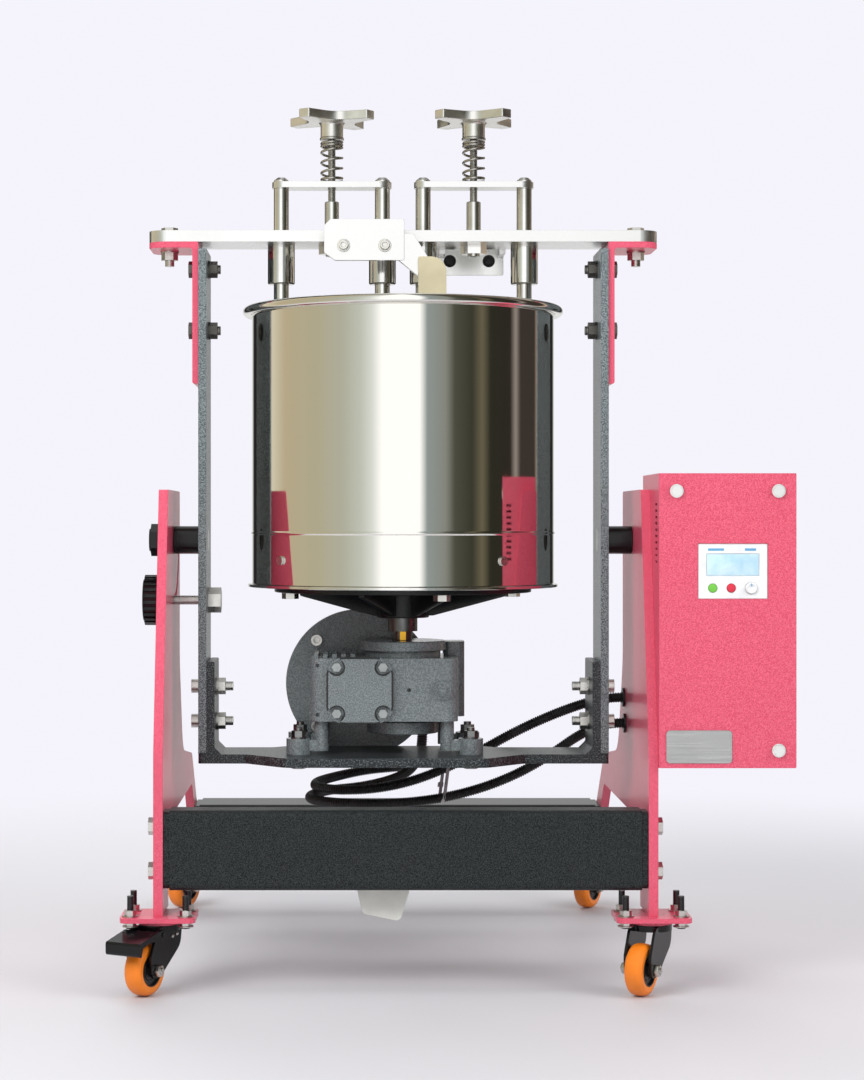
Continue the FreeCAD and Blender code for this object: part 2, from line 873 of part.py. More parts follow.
def top_brackets():
    """The angle brackets that carry the bar on the arms."""
    brackets = []
    leg = arm_depth / 2 - 4
    for side in (-1, 1):
        outer = arm_outer + bracket_thickness
        reach = bar_half_length
        profile = [
            (side * arm_outer, bracket_low, 0),
            (side * outer, bracket_low, 3),
            (side * outer, bar_bottom - bracket_thickness, 4),
            (side * reach, bar_bottom - bracket_thickness, 2),
            (side * reach, bar_bottom, 2),
            (side * arm_outer, bar_bottom, 2),
        ]
        bracket = prism(profile, space_xz(-leg), V(0, leg * 2, 0))
        tip = bar_end_radius
        plan = [
            (side * arm_outer, -leg, 0),
            (side * reach, -leg, tip),
            (side * reach, leg, tip),
            (side * arm_outer, leg, 0),
        ]
        envelope = prism(plan, space_xy(bracket_low - 1), V(0, 0, bar_bottom - bracket_low + 2))
        holes = []
        for z in (bracket_bolt_low, bracket_bolt_high):
            low = V(side * (arm_outer - 1), 0, z)
            holes.append(rod(bracket_bolt_diameter / 2 + bolt_clearance, low,
                             V(side * (outer + 1), 0, z)))
        low = V(side * bar_end_bolt_x, 0, bar_bottom - bracket_thickness - 1)
        holes.append(rod(bracket_bolt_diameter / 2 + bolt_clearance, low,
                         low + V(0, 0, bracket_thickness + 2)))
        brackets.append(bracket.common(envelope).cut(holes))
    return group(brackets)


def post_x(unit, side):
    return unit * head_offset + side * post_offset


def top_bar():
    """The bright cross bar with its rounded ends and holes for bushes and bosses."""
    half = bar_depth / 2
    edge = rectangle(-bar_half_length, bar_half_length, -half, half, bar_end_radius)
    bar = prism(edge, space_xy(bar_bottom), V(0, 0, bar_thickness))
    low = bar_bottom - 1
    high = bar_top + 1
    holes = []
    for unit in (-1, 1):
        holes.append(rod(boss_spigot / 2, V(unit * head_offset, 0, low), V(unit * head_offset, 0, high)))
        for side in (-1, 1):
            x = post_x(unit, side)
            holes.append(rod(guide_neck / 2, V(x, 0, low), V(x, 0, high)))
        x = unit * bar_end_bolt_x
        holes.append(rod(bracket_bolt_diameter / 2 + bolt_clearance, V(x, 0, low), V(x, 0, high)))
    return bar.cut(holes)


def guide_bushes():
    """Long bushes that hang below the bar, each held by a thin ring above it."""
    bore = post_diameter / 2 + running_clearance
    bushes = []
    for unit in (-1, 1):
        for side in (-1, 1):
            bushes.append(spun([
                (bore, bar_bottom - guide_drop, 1),
                (guide_outer / 2, bar_bottom - guide_drop, 2),
                (guide_outer / 2, bar_bottom, 0),
                (guide_neck / 2, bar_bottom, 0),
                (guide_neck / 2, bar_top, 0),
                (guide_ring / 2, bar_top, 0),
                (guide_ring / 2, bar_top + guide_ring_thickness, 1),
                (bore, bar_top + guide_ring_thickness, 0),
            ], V(post_x(unit, side), 0, 0)))
    return group(bushes)


def screw_bosses():
    """Threaded sleeves on the bar for the pressure screws, nutted below it."""
    bore = screw_diameter / 2 + running_clearance
    bosses = []
    for unit in (-1, 1):
        x = unit * head_offset
        body = spun([
            (bore, bar_bottom - boss_nut_thickness - 3, 0),
            (boss_spigot / 2, bar_bottom - boss_nut_thickness - 3, 1),
            (boss_spigot / 2, bar_top, 0),
            (boss_outer / 2, bar_top, 0),
            (boss_outer / 2, boss_top, 2),
            (bore, boss_top, 0),
        ], V(x, 0, 0))
        nut = hexagon(boss_nut_width, V(x, 0, bar_bottom), V(0, 0, -boss_nut_thickness))
        nut = nut.cut(rod(boss_spigot / 2, V(x, 0, bar_bottom - 20), V(x, 0, bar_bottom + 1)))
        bosses.append(body.fuse(nut).removeSplitter())
    return group(bosses)


def head_posts(unit):
    """Two guide posts with their eyes, and the roller axle between them."""
    solids = []
    for side in (-1, 1):
        x = post_x(unit, side)
        half = post_foot_width / 2
        foot_low = axle_height - post_foot_height / 2
        foot_high = axle_height + post_foot_height / 2
        block = rectangle(-half, half, foot_low, foot_high, half - 1)
        foot = prism(block, space_yz(x - half), V(post_foot_width, 0, 0))
        post = rod(post_diameter / 2, V(x, 0, axle_height), V(x, 0, bridge_bottom))
        eye = rod(head_axle_diameter / 2, V(x - half - 1, 0, axle_height), V(x + half + 1, 0, axle_height))
        solids.append(join([foot, post]).cut(eye))
    reach = post_offset + post_foot_width / 2 + 4
    left = V(unit * head_offset - reach, 0, axle_height)
    right = V(unit * head_offset + reach, 0, axle_height)
    solids.append(rod(head_axle_diameter / 2, left, right))
    return group(solids)


def head_bridge(unit):
    """The plate that ties the posts together under the spring, with domed post screws."""
    x = unit * head_offset
    half = bridge_length / 2
    deep = bridge_depth / 2
    edge = rectangle(x - half, x + half, -deep, deep, deep - 2)
    plate = prism(edge, space_xy(bridge_bottom), V(0, 0, bridge_thickness))
    centre = V(x, 0, bridge_bottom - 1)
    hole = rod(screw_diameter / 2 + 1, centre, centre + V(0, 0, bridge_thickness + 2))
    solids = [plate.cut(hole)]
    for side in (-1, 1):
        solids.append(spun([
            (0, bridge_top, 0),
            (post_cap_diameter / 2, bridge_top, 0),
            (post_cap_diameter / 2, bridge_top + post_cap_height * 0.4, 2),
            (post_cap_diameter / 4, bridge_top + post_cap_height, 3),
            (0, bridge_top + post_cap_height, 0),
        ], V(post_x(unit, side), 0, 0)))
    return group([join(solids)])


def stone_roller(unit):
    """A granite roller with its plain bush, turning on the head's axle."""
    x = unit * head_offset
    half = roller_width / 2
    bore = head_axle_diameter / 2 + running_clearance
    base = V(x, 0, axle_height)
    turn = (V(0, 1, 0), 90)
    stone = spun([
        (roller_bush_radius, -half, 0),
        (roller_radius, -half, roller_bevel),
        (roller_radius, half, roller_bevel),
        (roller_bush_radius, half, 0),
    ], base, turn)
    bush = spun([
        (bore, -half - 3, 0),
        (roller_bush_radius, -half - 3, 1),
        (roller_bush_radius, half + 3, 1),
        (bore, half + 3, 0),
    ], base, turn)
    return group([stone, bush])


def pressure_spring(unit):
    """An open compression spring with its ends drawn in flat."""
    pitch_radius = (spring_outer - spring_wire) / 2
    rise = spring_length - spring_wire
    helix = Part.makeHelix(rise / spring_turns, rise, pitch_radius)
    start = V(pitch_radius, 0, 0)
    way = V(0, 1, rise / spring_turns / (2 * pi * pitch_radius))
    ring = Part.Wire(Part.makeCircle(spring_wire / 2, start, way))
    spring = helix.makePipeShell([ring], True, True)
    spring.translate(V(unit * head_offset, 0, bridge_top + spring_wire / 2 + gap))
    return spring


def thrust_washer(unit):
    x = unit * head_offset
    low = V(x, 0, spring_top + gap)
    return sleeve(thrust_washer_outer / 2, screw_diameter / 2 + running_clearance * 4,
                  low, low + V(0, 0, thrust_washer_thickness - gap))


def star_outline():
    """Corner rows of the star handle: rounded lobes with hollows between them."""
    rows = []
    for number in range(star_lobes):
        for place, share, radius in (
            (-star_lobe_share, 1, 6),
            (star_lobe_share, 1, 6),
            (0.5, star_waist, 16),
        ):
            turn = 2 * pi / star_lobes * (number + place)
            rows.append((star_radius * share * cos(turn), star_radius * share * sin(turn), radius))
    return rows


def handwheel(unit):
    """The star handle on its hub with the pressure screw below."""
    x = unit * head_offset
    low = wheel_hub_bottom + gap
    star = prism(star_outline(), space_xy(star_bottom), V(0, 0, star_height))
    dish_centre = V(0, 0, star_bottom + star_dish_radius)
    outer = Part.makeSphere(star_dish_radius, dish_centre)
    inner = Part.makeSphere(star_dish_radius - star_thickness, dish_centre)
    star = star.common(outer).cut(inner)
    hub = rod(wheel_hub_diameter / 2, V(0, 0, low), V(0, 0, star_bottom + 2))
    screw = rod(screw_diameter / 2, V(0, 0, bar_top + 8), V(0, 0, low + 2))
    wheel = join([star, hub, screw])
    wheel.translate(V(x, 0, 0))
    return wheel


def drum_shell():
    """The rolled stainless wall with its wire-edged rim, open at the top."""
    low = V(0, 0, drum_bottom)
    wall = sleeve(drum_radius, drum_radius - drum_wall, low, V(0, 0, drum_top))
    rim = Part.makeTorus(drum_radius + rim_wire / 2, rim_wire / 2, V(0, 0, drum_top))
    holes = [rod(2.6, point, point + way * 8) for point, way in drum_screw_places(-4)]
    return wall.fuse(rim).removeSplitter().cut(holes)


def drum_screw_places(offset):
    """Points and outward directions of the screws round the drum's foot."""
    places = []
    for number in range(drum_screw_count):
        turn = 2 * pi * number / drum_screw_count + radians(drum_screw_start)
        way = V(cos(turn), sin(turn), 0)
        places.append((way * (drum_radius + offset) + V(0, 0, drum_screw_height), way))
    return places


def drum_base():
    """Floor disc, carrier disc, hub and its triangular ribs."""
    top = V(0, 0, drum_bottom)
    middle = V(0, 0, floor_disc_bottom)
    low = V(0, 0, carrier_bottom)
    solids = [
        rod(floor_disc_radius, middle, top),
        rod(carrier_disc_radius, low, middle),
        rod(drum_hub_radius, V(0, 0, hub_bottom), low),
    ]
    half = rib_thickness / 2
    for number in range(rib_count):
        profile = [
            (drum_hub_radius - 3, hub_bottom + 3, 0),
            (drum_hub_radius + 8, hub_bottom + 3, 4),
            (rib_reach, carrier_bottom - 4, 3),
            (rib_reach, carrier_bottom, 0),
            (drum_hub_radius - 3, carrier_bottom, 0),
        ]
        rib = prism(profile, space_xz(-half), V(0, rib_thickness, 0))
        rib.rotate(V(0, 0, 0), V(0, 0, 1), 360.0 / rib_count * (number + 0.5))
        solids.append(rib)
    base = join(solids)
    bore = rod(shaft_diameter / 2, V(0, 0, hub_bottom - 1), V(0, 0, drum_bottom + 1))
    return base.cut(bore)


def drum_screws():
    """Cap screws through the wall, and hex bolts under the carrier disc."""
    screws = []
    for point, way in drum_screw_places(0):
        screws.append(rod(drum_screw_head / 2, point, point + way * 3))
    for number in range(carrier_bolt_count):
        turn = 2 * pi * (number + 0.75) / carrier_bolt_count + radians(40)
        seat = V(cos(turn), sin(turn), 0) * (carrier_bolt_circle / 2) + V(0, 0, carrier_bottom)
        screws.append(hexagon(carrier_bolt_diameter * 1.6, seat, V(0, 0, -8)))
    return group(screws)


def granite_base():
    """The flat granite bed in the drum, with its clamping nut in the middle."""
    radius = drum_radius - drum_wall - granite_clearance
    bed = spun([
        (shaft_diameter / 2 + 0.5, drum_bottom, 0),
        (radius, drum_bottom, 0),
        (radius, granite_top, granite_bevel),
        (shaft_diameter / 2 + 0.5, granite_top, 0),
    ], V(0, 0, 0))
    return bed


def drive_shaft():
    """The output shaft up to its clamping nut, with the coupling sleeve and its key."""
    gear_face = V(0, 0, ring_top + gap)
    sleeve_low = V(0, 0, hub_bottom - sleeve_height)
    nut_low = V(0, 0, granite_top)
    shaft = join([
        rod(shaft_diameter / 2, gear_face, nut_low + V(0, 0, center_nut_height)),
        rod(sleeve_diameter / 2, sleeve_low, V(0, 0, hub_bottom)),
        hexagon(center_nut_width * 1.5, nut_low, V(0, 0, center_nut_height * 0.7)),
    ])
    key_low = ring_top + gap
    key_front = -shaft_diameter / 2 - 4
    key = box(-4, 4, key_front, -shaft_diameter / 2 + 3, key_low, sleeve_low.z)
    return group([shaft.cut(key), key])


def scraper_brackets():
    """The bent plates on the bar's front and rear, with the holder of the scraper."""
    half = bar_depth / 2
    front = channel(scraper_left, scraper_right, scraper_front, -half)
    rear = channel(rear_scraper_left, rear_scraper_right, -scraper_front, half)
    holder = scraper_holder()
    screws = []
    middle_z = (scraper_low + bar_bottom) / 2 + 4
    for middle, y, way in (
        ((scraper_left + scraper_right) / 2, scraper_front, -1),
        ((rear_scraper_left + rear_scraper_right) / 2, -scraper_front - scraper_plate, -1),
    ):
        for side in (-1, 1):
            seat = V(middle + side * scraper_screw_spacing / 2, y, middle_z)
            screws.append(socket_head(8, seat, V(0, way, 0)))
    return group([join([front, holder]), rear] + screws)


def channel(left, right, far, near):
    """A plate across the bar's face with a return at each end; far is its open side."""
    way = 1 if far > near else -1
    thick = scraper_plate
    outer = [
        (left, scraper_low + 10, 3),
        (left + 14, scraper_low, 3),
        (right, scraper_low, 2),
        (right, scraper_high, 2),
        (left + 8, scraper_high, 3),
        (left, scraper_high - 8, 3),
    ]
    face = prism(outer, space_xz(far), V(0, -way * thick, 0))
    y_low = min(far, near)
    y_high = max(far, near)
    returns = []
    for start in (left + 4, right - thick):
        returns.append(box(start, start + thick, y_low, y_high, bar_bottom - 6, scraper_high - 4))
    return join([face] + returns)


def scraper_holder():
    """The slanting strip from the front bracket to the scraper's stem."""
    right = blade_left
    low = blade_top - 26
    outline = [
        (scraper_right - 14, scraper_low + 6, 2),
        (scraper_right - 2, scraper_low + 34, 3),
        (scraper_right + 12, scraper_low + 34, 3),
        (right + 14, blade_top - 2, 3),
        (right + 14, low, 3),
        (right + 2, low, 3),
    ]
    y = blade_front + blade_thickness
    return prism(outline, space_xz(y), V(0, scraper_front + scraper_plate - y + 3, 0))


def scraper_blade():
    """The scraper: a stem from the holder down to a paddle at the drum's wall and floor."""
    floor_z = granite_top + blade_floor_gap
    inner_radius = drum_radius - drum_wall - blade_wall_gap
    reach = sqrt(inner_radius ** 2 - blade_front ** 2) - 2
    outline = [
        (blade_left, blade_top, 2),
        (blade_right, blade_top, 20),
        (blade_right, blade_paddle_top + 40, 30),
        (reach, blade_paddle_top, 30),
        (reach, floor_z + granite_bevel, 3),
        (reach - 6, floor_z, 3),
        (blade_left, floor_z, 3),
    ]
    return prism(outline, space_xz(blade_front), V(0, blade_thickness, 0))


def gearbox_housing():
    """The cast worm gear case with its flange rings, worm tunnel, ribs and feet."""
    half = gear_half_depth
    body = prism(rectangle(gear_left, gear_right, -half, half, 14),
                 space_xy(gear_bottom), V(0, 0, gear_top - gear_bottom))
    wheel_case = rod(gear_wheel_radius, V(0, 0, gear_bottom), V(0, 0, gear_top))
    tunnel = rod(worm_tunnel_radius, V(worm_x, worm_tunnel_front, worm_z),
                 V(worm_x, motor_flange_front, worm_z))
    upper = spun([
        (0, gear_top, 0),
        (ring_radius - 7, gear_top, 0),
        (ring_radius - 7, ring_top - ring_thickness, 0),
        (ring_radius, ring_top - ring_thickness, 1),
        (ring_radius, ring_top, 2),
        (0, ring_top, 0),
    ], V(0, 0, 0))
    lower = spun([
        (0, lower_ring_bottom, 0),
        (lower_ring_radius, lower_ring_bottom, 2),
        (lower_ring_radius, lower_ring_bottom + lower_ring_thickness, 1),
        (lower_ring_radius - 8, lower_ring_bottom + lower_ring_thickness, 0),
        (lower_ring_radius - 8, gear_bottom, 0),
        (0, gear_bottom, 0),
    ], V(0, 0, 0))
    lug = prism(rectangle(gear_right - 16, gear_right + rear_lug_reach, rear_lug_front, half, 8),
                space_xy(gear_bottom), V(0, 0, rear_lug_top - gear_bottom))
    solids = [body, wheel_case, tunnel, upper, lower, lug]
    for number in range(top_rib_count):
        x = gear_left + 4 + number * top_rib_width * 2
        solids.append(box(x, x + top_rib_width, -half + 12, half - 12, gear_top - 2,
                          gear_top + top_rib_height))
    for x, y in gear_bolt_places():
        solids.append(foot_web(x, y))
    case = join(solids)
    holes = []
    for x, y in gear_bolt_places():
        holes.append(rod(gear_bolt_diameter / 2 + bolt_clearance, V(x, y, yoke_floor_top - 1),
                         V(x, y, yoke_floor_top + foot_boss_height + 1)))
    for x, z in (
        (gear_left + 9, worm_z - 32),
        (gear_left + 9, worm_z + 32),
        (gear_right - 64, worm_z),
    ):
        start = V(x, -half - 1, z)
        holes.append(rod(2.5, start, start + V(0, 9, 0)))
    return case.cut(holes)


def foot_web(x, y):
    """One foot: a boss on the table, tied to the case by a web and a leg."""
    low = yoke_floor_top
    high = low + foot_boss_height
    boss = rod(foot_boss_radius, V(x, y, low), V(x, y, high))
    inward = 1 if x < 0 else -1
    edge = gear_left if x < 0 else gear_right
    leg_x = edge + inward * 14
    x_low = min(x, leg_x)
    x_high = max(x, leg_x)
    web = box(x_low, x_high, y - 7, y + 7, low + 5, high - 2)
    leg = rod(9, V(leg_x, y, low + 5), V(leg_x, y, gear_bottom + 8))
    return join([boss, web, leg])


def gearbox_cover():
    """The square worm cover with its scalloped corners, and the oil plug."""
    size = worm_cover_size / 2
    plate = prism(rectangle(worm_x - size, worm_x + size, worm_z - size, worm_z + size, 22),
                  space_xz(worm_tunnel_front), V(0, -4, 0))
    dome = prism(rectangle(worm_x - size + 2, worm_x + size - 2, worm_z - size + 2,
                           worm_z + size - 2, 22),
                 space_xz(worm_tunnel_front - 4), V(0, worm_cover_front - worm_tunnel_front + 4, 0))
    cuts = []
    for dx in (-1, 1):
        for dz in (-1, 1):
            corner = V(worm_x + dx * cover_bolt_spacing / 2, 0, worm_z + dz * cover_bolt_spacing / 2)
            start = corner + V(0, worm_tunnel_front - 4, 0)
            cuts.append(rod(11, start, start - V(0, 20, 0)))
            outer = corner + V(dx * 12, worm_tunnel_front - 4, dz * 12)
            cuts.append(rod(15, outer, outer - V(0, 20, 0)))
    cover = join([plate, dome.cut(cuts)])
    plug_start = V(gear_right - plug_inset, -gear_half_depth, worm_z)
    plug = sleeve(12, 4, plug_start, plug_start - V(0, 5, 0))
    plug = plug.fuse(hexagon(13, plug_start, V(0, -8, 0))).removeSplitter()
    return group([cover, plug])


def gearbox_bolts():
    """Cover bolts, flange bolts and the foot studs with their nuts."""
    bolts = []
    for dx in (-1, 1):
        for dz in (-1, 1):
            seat = V(worm_x + dx * cover_bolt_spacing / 2, worm_tunnel_front - 4,
                     worm_z + dz * cover_bolt_spacing / 2)
            bolts.append(hexagon(11, seat, V(0, -5, 0)))
            angle = atan2(dz, dx)
            radius = motor_bolt_circle / 2
            front = V(worm_x + radius * cos(angle), motor_flange_front, worm_z + radius * sin(angle))
            bolts.append(socket_head(10, front, V(0, -1, 0)))
    for x, y in gear_bolt_places():
        seat = V(x, y, yoke_floor)
        bolts.append(fastener(gear_bolt_diameter, seat, V(0, 0, 1),
                              yoke_floor_thickness + foot_boss_height, 14))
    return group(bolts)


def motor():
    """The flange-mounted motor with its fins, and the terminal box on its side."""
    front = V(worm_x, motor_flange_front, worm_z)
    flange_end = front + V(0, motor_flange_thickness, 0)
    body_end = flange_end + V(0, motor_length, 0)
    flange = rod(motor_flange_radius, front, flange_end)
    body = rod(motor_radius, flange_end, body_end)
    solids = [flange, body]
    for number in range(motor_fin_count):
        turn = 360.0 * number / motor_fin_count
        fin = box(-1.5, 1.5, flange_end.y + 6, body_end.y, motor_radius - 2, motor_fin_radius)
        fin.rotate(V(0, 0, 0), V(0, 1, 0), turn)
        fin.translate(V(worm_x, 0, worm_z))
        solids.append(fin)
    seat = worm_x + motor_fin_radius + terminal_stand_off
    y = flange_end.y + 30
    low = worm_z - terminal_height / 2
    high = worm_z + terminal_height / 2
    solids.append(box(worm_x + motor_radius - 6, seat, y + 10, y + terminal_length - 10,
                      low + terminal_height / 4, high - terminal_height / 4))
    terminal = prism(rectangle(y, y + terminal_length, low, high, 8), space_yz(seat),
                     V(terminal_width, 0, 0))
    glands = []
    for route in (low_conduit_route, high_conduit_route):
        end = route[-1]
        length = low - end.z - gap
        glands.append(hexagon(conduit_gland_width, V(end.x, end.y, low), V(0, 0, -length)))
    return group([join(solids), join([terminal] + glands)])


def fan_cowl():
    """The pressed cowl over the motor's fan, with its ring of air slots."""
    start = motor_flange_front + motor_flange_thickness + motor_length + gap
    outer = [
        (0, cowl_length - cowl_wall, 0),
        (cowl_radius - cowl_wall, cowl_length - cowl_wall, 8),
        (cowl_radius - cowl_wall, 0, 0),
        (cowl_radius, 0, 0),
        (cowl_radius, cowl_length, 10),
        (0, cowl_length, 0),
    ]
    cowl = spun(outer, V(worm_x, start, worm_z), (V(1, 0, 0), -90))
    slots = []
    for number in range(12):
        slot = box(22, 58, start + cowl_length - 10, start + cowl_length + 10, -3, 3)
        slot.translate(V(worm_x, 0, worm_z))
        slot.rotate(V(worm_x, 0, worm_z), V(0, 1, 0), 30.0 * number)
        slots.append(slot)
    return cowl.cut(slots)


def control_box():
    """The sheet steel box: closed on five sides, vented at the left, open at the front."""
    outer = box(box_left, box_right, box_front + cover_thickness, box_back, box_bottom, box_top)
    inner = box(box_left + box_wall, box_right - box_wall, box_front, box_back - box_wall,
                box_bottom + box_wall, box_top - box_wall)
    shell = outer.cut(inner)
    lip_back = box_front + cover_thickness + box_wall
    lip = box(box_left + box_wall, box_right - box_wall, box_front + cover_thickness, lip_back,
              box_bottom + box_wall, box_top - box_wall)
    window = box(box_left + cover_lip, box_right - cover_lip, box_front, lip_back + 1,
                 box_bottom + cover_lip, box_top - cover_lip)
    posts = []
    for x, z in box_screw_places():
        start = V(x, box_front + cover_thickness, z)
        posts.append(rod(8, start, start + V(0, 10, 0)))
    shell = join([shell, lip.cut(window)] + posts)
    cuts = []
    for number in range(vent_count):
        z = box_top - 40 - number * vent_pitch
        vent = box(box_left - 1, box_left + box_wall + 1, box_front + 18, box_front + 18 + vent_width,
                   z, z + vent_height)
        cuts.append(vent)
    for x, z, radius in gland_places():
        face = V(x, box_back - box_wall - 1, z)
        cuts.append(rod(radius, face, face + V(0, box_wall + 2, 0)))
    return shell.cut(cuts)


def gland_places():
    """(X, height, hole radius) of the glands in the box's back."""
    return [
        (mains_gland_x, mains_gland_z, gland_outer / 2 - 3),
        (conduit_gland_x, low_conduit_z, conduit_gland_width / 2 - 3),
        (conduit_gland_x, high_conduit_z, conduit_gland_width / 2 - 3),
    ]


def box_screw_places():
    left = box_left + box_screw_inset
    right = box_right - box_screw_inset
    low = box_bottom + box_screw_inset
    high = box_top - box_screw_inset
    return [(left, high), (right, high), (right, low)]


def control_box_cover():
    """The flat front cover with the window for the keypad."""
    edge = rectangle(box_left, box_right, box_bottom, box_top, 2)
    cover = prism(edge, space_xz(box_front), V(0, cover_thickness, 0))
    loose = keypad_clearance
    window = box(keypad_left - loose, keypad_left + keypad_width + loose, box_front - 1,
                 box_front + cover_thickness + 1, keypad_bottom - loose,
                 keypad_bottom + keypad_height + loose)
    return cover.cut(window)


def control_box_screws():
    """Domed hex screws at the cover's corners."""
    screws = []
    for x, z in box_screw_places():
        seat = V(x, box_front, z)
        screws.append(join([hexagon(13, seat, V(0, -5, 0)), rod(8.5, seat, seat - V(0, 1.5, 0))]))
    return group(screws)


def keypad():
    """The drive's keypad behind the window, with its screen recess and button wells."""
    front = box_front + 1
    back = front + keypad_depth
    body = box(keypad_left, keypad_left + keypad_width, front, back, keypad_bottom,
               keypad_bottom + keypad_height)
    screen = box(keypad_left + 10, keypad_left + keypad_width - 10, front - 1, front + 1.2,
                 keypad_bottom + 28, keypad_bottom + keypad_height - 12)
    cuts = [screen]
    for x, diameter in button_places() + [(dial_x(), dial_diameter)]:
        start = V(x, front - 1, keypad_bottom + 13)
        cuts.append(rod(diameter / 2 + gap, start, start + V(0, button_height + 4, 0)))
    flange = box(keypad_left - 8, keypad_left + keypad_width + 8,
                 box_front + cover_thickness, box_front + cover_thickness + 3,
                 keypad_bottom - 8, keypad_bottom + keypad_height + 8)
    return join([body, flange]).cut(cuts)


def button_places():
    return [(keypad_left + 18, button_diameter), (keypad_left + 41, button_diameter)]


def dial_x():
    return keypad_left + keypad_width - 20


def push_button(index):
    x, diameter = button_places()[index]
    front = box_front + 1 - button_travel - 0.4
    start = V(x, front, keypad_bottom + 13)
    return rod(diameter / 2, start, start + V(0, button_height + 1, 0))


def speed_dial():
    start = V(dial_x(), box_front + 1 - dial_height, keypad_bottom + 13)
    return rod(dial_diameter / 2, start, start + V(0, dial_height + button_height, 0))


def nameplate():
    """The blank metal plate on the cover."""
    edge = rectangle(nameplate_left, nameplate_left + nameplate_width, nameplate_bottom,
                     nameplate_bottom + nameplate_height, 5)
    return prism(edge, space_xz(box_front), V(0, -nameplate_thickness, 0))


def cable_glands():
    """The mains and conduit glands on the box's back, and the plate's two grommets."""
    solids = []
    for x, z, radius in gland_places():
        face = V(x, box_back, z)
        if x == mains_gland_x:
            bore = gland_bore / 2
            tip = face + V(0, gland_length, 0)
            width = gland_outer
        else:
            bore = conduit_diameter / 2
            tip = face + V(0, conduit_gland_length, 0)
            width = conduit_gland_width
        inner = face - V(0, box_wall + 6, 0)
        neck = rod(radius, inner, face + V(0, 1, 0))
        cap = rod(width / 2, face, tip)
        nut = hexagon(width, face, V(0, 7, 0))
        locknut = hexagon(width, face - V(0, box_wall, 0), V(0, -4, 0))
        solids.append(join([neck, cap, nut, locknut]).cut(rod(bore, inner - V(0, 1, 0), tip + V(0, 1, 0))))
    for y, z in ((low_conduit_y, low_conduit_z), (high_conduit_y, high_conduit_z)):
        inner = V(plate_inner - 3, y, z)
        outer = V(plate_outer - 0.5, y, z)
        bore = conduit_diameter / 2 + 1
        ring = sleeve(conduit_diameter / 2 + 3, bore, inner, outer)
        lip = sleeve(conduit_diameter / 2 + 6, bore, inner, V(plate_inner, y, z))
        solids.append(ring.fuse(lip).removeSplitter())
    return group(solids)


def floor_tongue():
    """The pale plate that hangs behind the front beam."""
    half = tongue_top_width / 2
    foot = tongue_foot_width / 2
    middle = -27.0
    top = front_beam_bottom
    outline = [
        (middle - half, top + 30, 2),
        (middle - half, top, 30),
        (middle - foot - 6, top - tongue_drop + 10, 8),
        (middle + foot, top - tongue_drop, 8),
        (middle + half, top, 30),
        (middle + half, top + 30, 2),
    ]
    return prism(outline, space_xz(plate_front + beam_depth), V(0, tongue_thickness, 0))


def rounded_tube(points, diameter):
    """A tube along straight runs with a tangent arc at each inner point."""
    radii = []
    edges = []
    start = points[0]
    for before, corner, after in zip(points, points[1:], points[2:]):
        back = before - corner
        ahead = after - corner
        shorter = min(back.Length, ahead.Length)
        back.normalize()
        ahead.normalize()
        half_turn = (pi - back.getAngle(ahead)) / 2
        radius = 0.45 * shorter / tan(half_turn)
        radii.append(round(radius))
        setback = radius * tan(half_turn)
        enter = corner + back * setback
        leave = corner + ahead * setback
        bisector = back + ahead
        bisector.normalize()
        middle = corner + bisector * (radius / cos(half_turn) - radius)
        edges.append(Part.LineSegment(start, enter).toShape())
        edges.append(Part.Arc(enter, middle, leave).toShape())
        start = leave
    edges.append(Part.LineSegment(start, points[-1]).toShape())
    path = Part.Wire(edges)
    ring = Part.Wire(Part.makeCircle(diameter / 2, points[0], points[1] - points[0]))
    tube = path.makePipeShell([ring], True, False)
    print("tube radii", radii, "length", round(path.Length))
    return tube


low_conduit_route = [
    V(conduit_gland_x, -16, low_conduit_z),
    V(358.5, 14, low_conduit_z),
    V(355, 41, low_conduit_z),
    V(341, 58.6, low_conduit_z),
    V(321, 68.4, low_conduit_z),
    V(277, 70.8, low_conduit_z),
    V(242, 86, 300),
    V(206, 100, 272),
    V(164, 107, 246),
    V(114, 110, 225),
    V(60, 110, 211),
    V(4, 108, 204),
    V(-46, 109, 203),
    V(-92, 118, 203),
    V(-124, 146, 204),
    V(-128, 186, 206),
    V(-98, 218, 210),
    V(-52, 224, 214),
    V(-14, 208, 224),
    V(14, 180, 240),
    V(28, 155, 266),
    V(31, 149, 290),
    V(31, 149, 316.7),
]
high_conduit_route = [
    V(conduit_gland_x, -16, high_conduit_z),
    V(358.5, 26, high_conduit_z),
    V(355, 53.5, high_conduit_z),
    V(341, 71.1, high_conduit_z),
    V(321, 80.9, high_conduit_z),
    V(277, 83.3, 350.5),
    V(238, 97, 338),
    V(196, 112, 320),
    V(154, 122, 299),
    V(112, 127, 275),
    V(66, 128, 251),
    V(14, 126, 231),
    V(-38, 124, 221),
    V(-86, 130, 219),
    V(-118, 156, 220),
    V(-120, 194, 223),
    V(-92, 224, 228),
    V(-48, 238, 236),
    V(-6, 236, 240),
    V(18, 216, 246),
    V(29, 194, 264),
    V(31, 181, 288),
    V(31, 181, 316.7),
]


def conduits():
    """The corrugated conduits from the control box to the motor."""
    tubes = [rounded_tube(route, conduit_diameter)
             for route in (low_conduit_route, high_conduit_route)]
    return group(tubes)


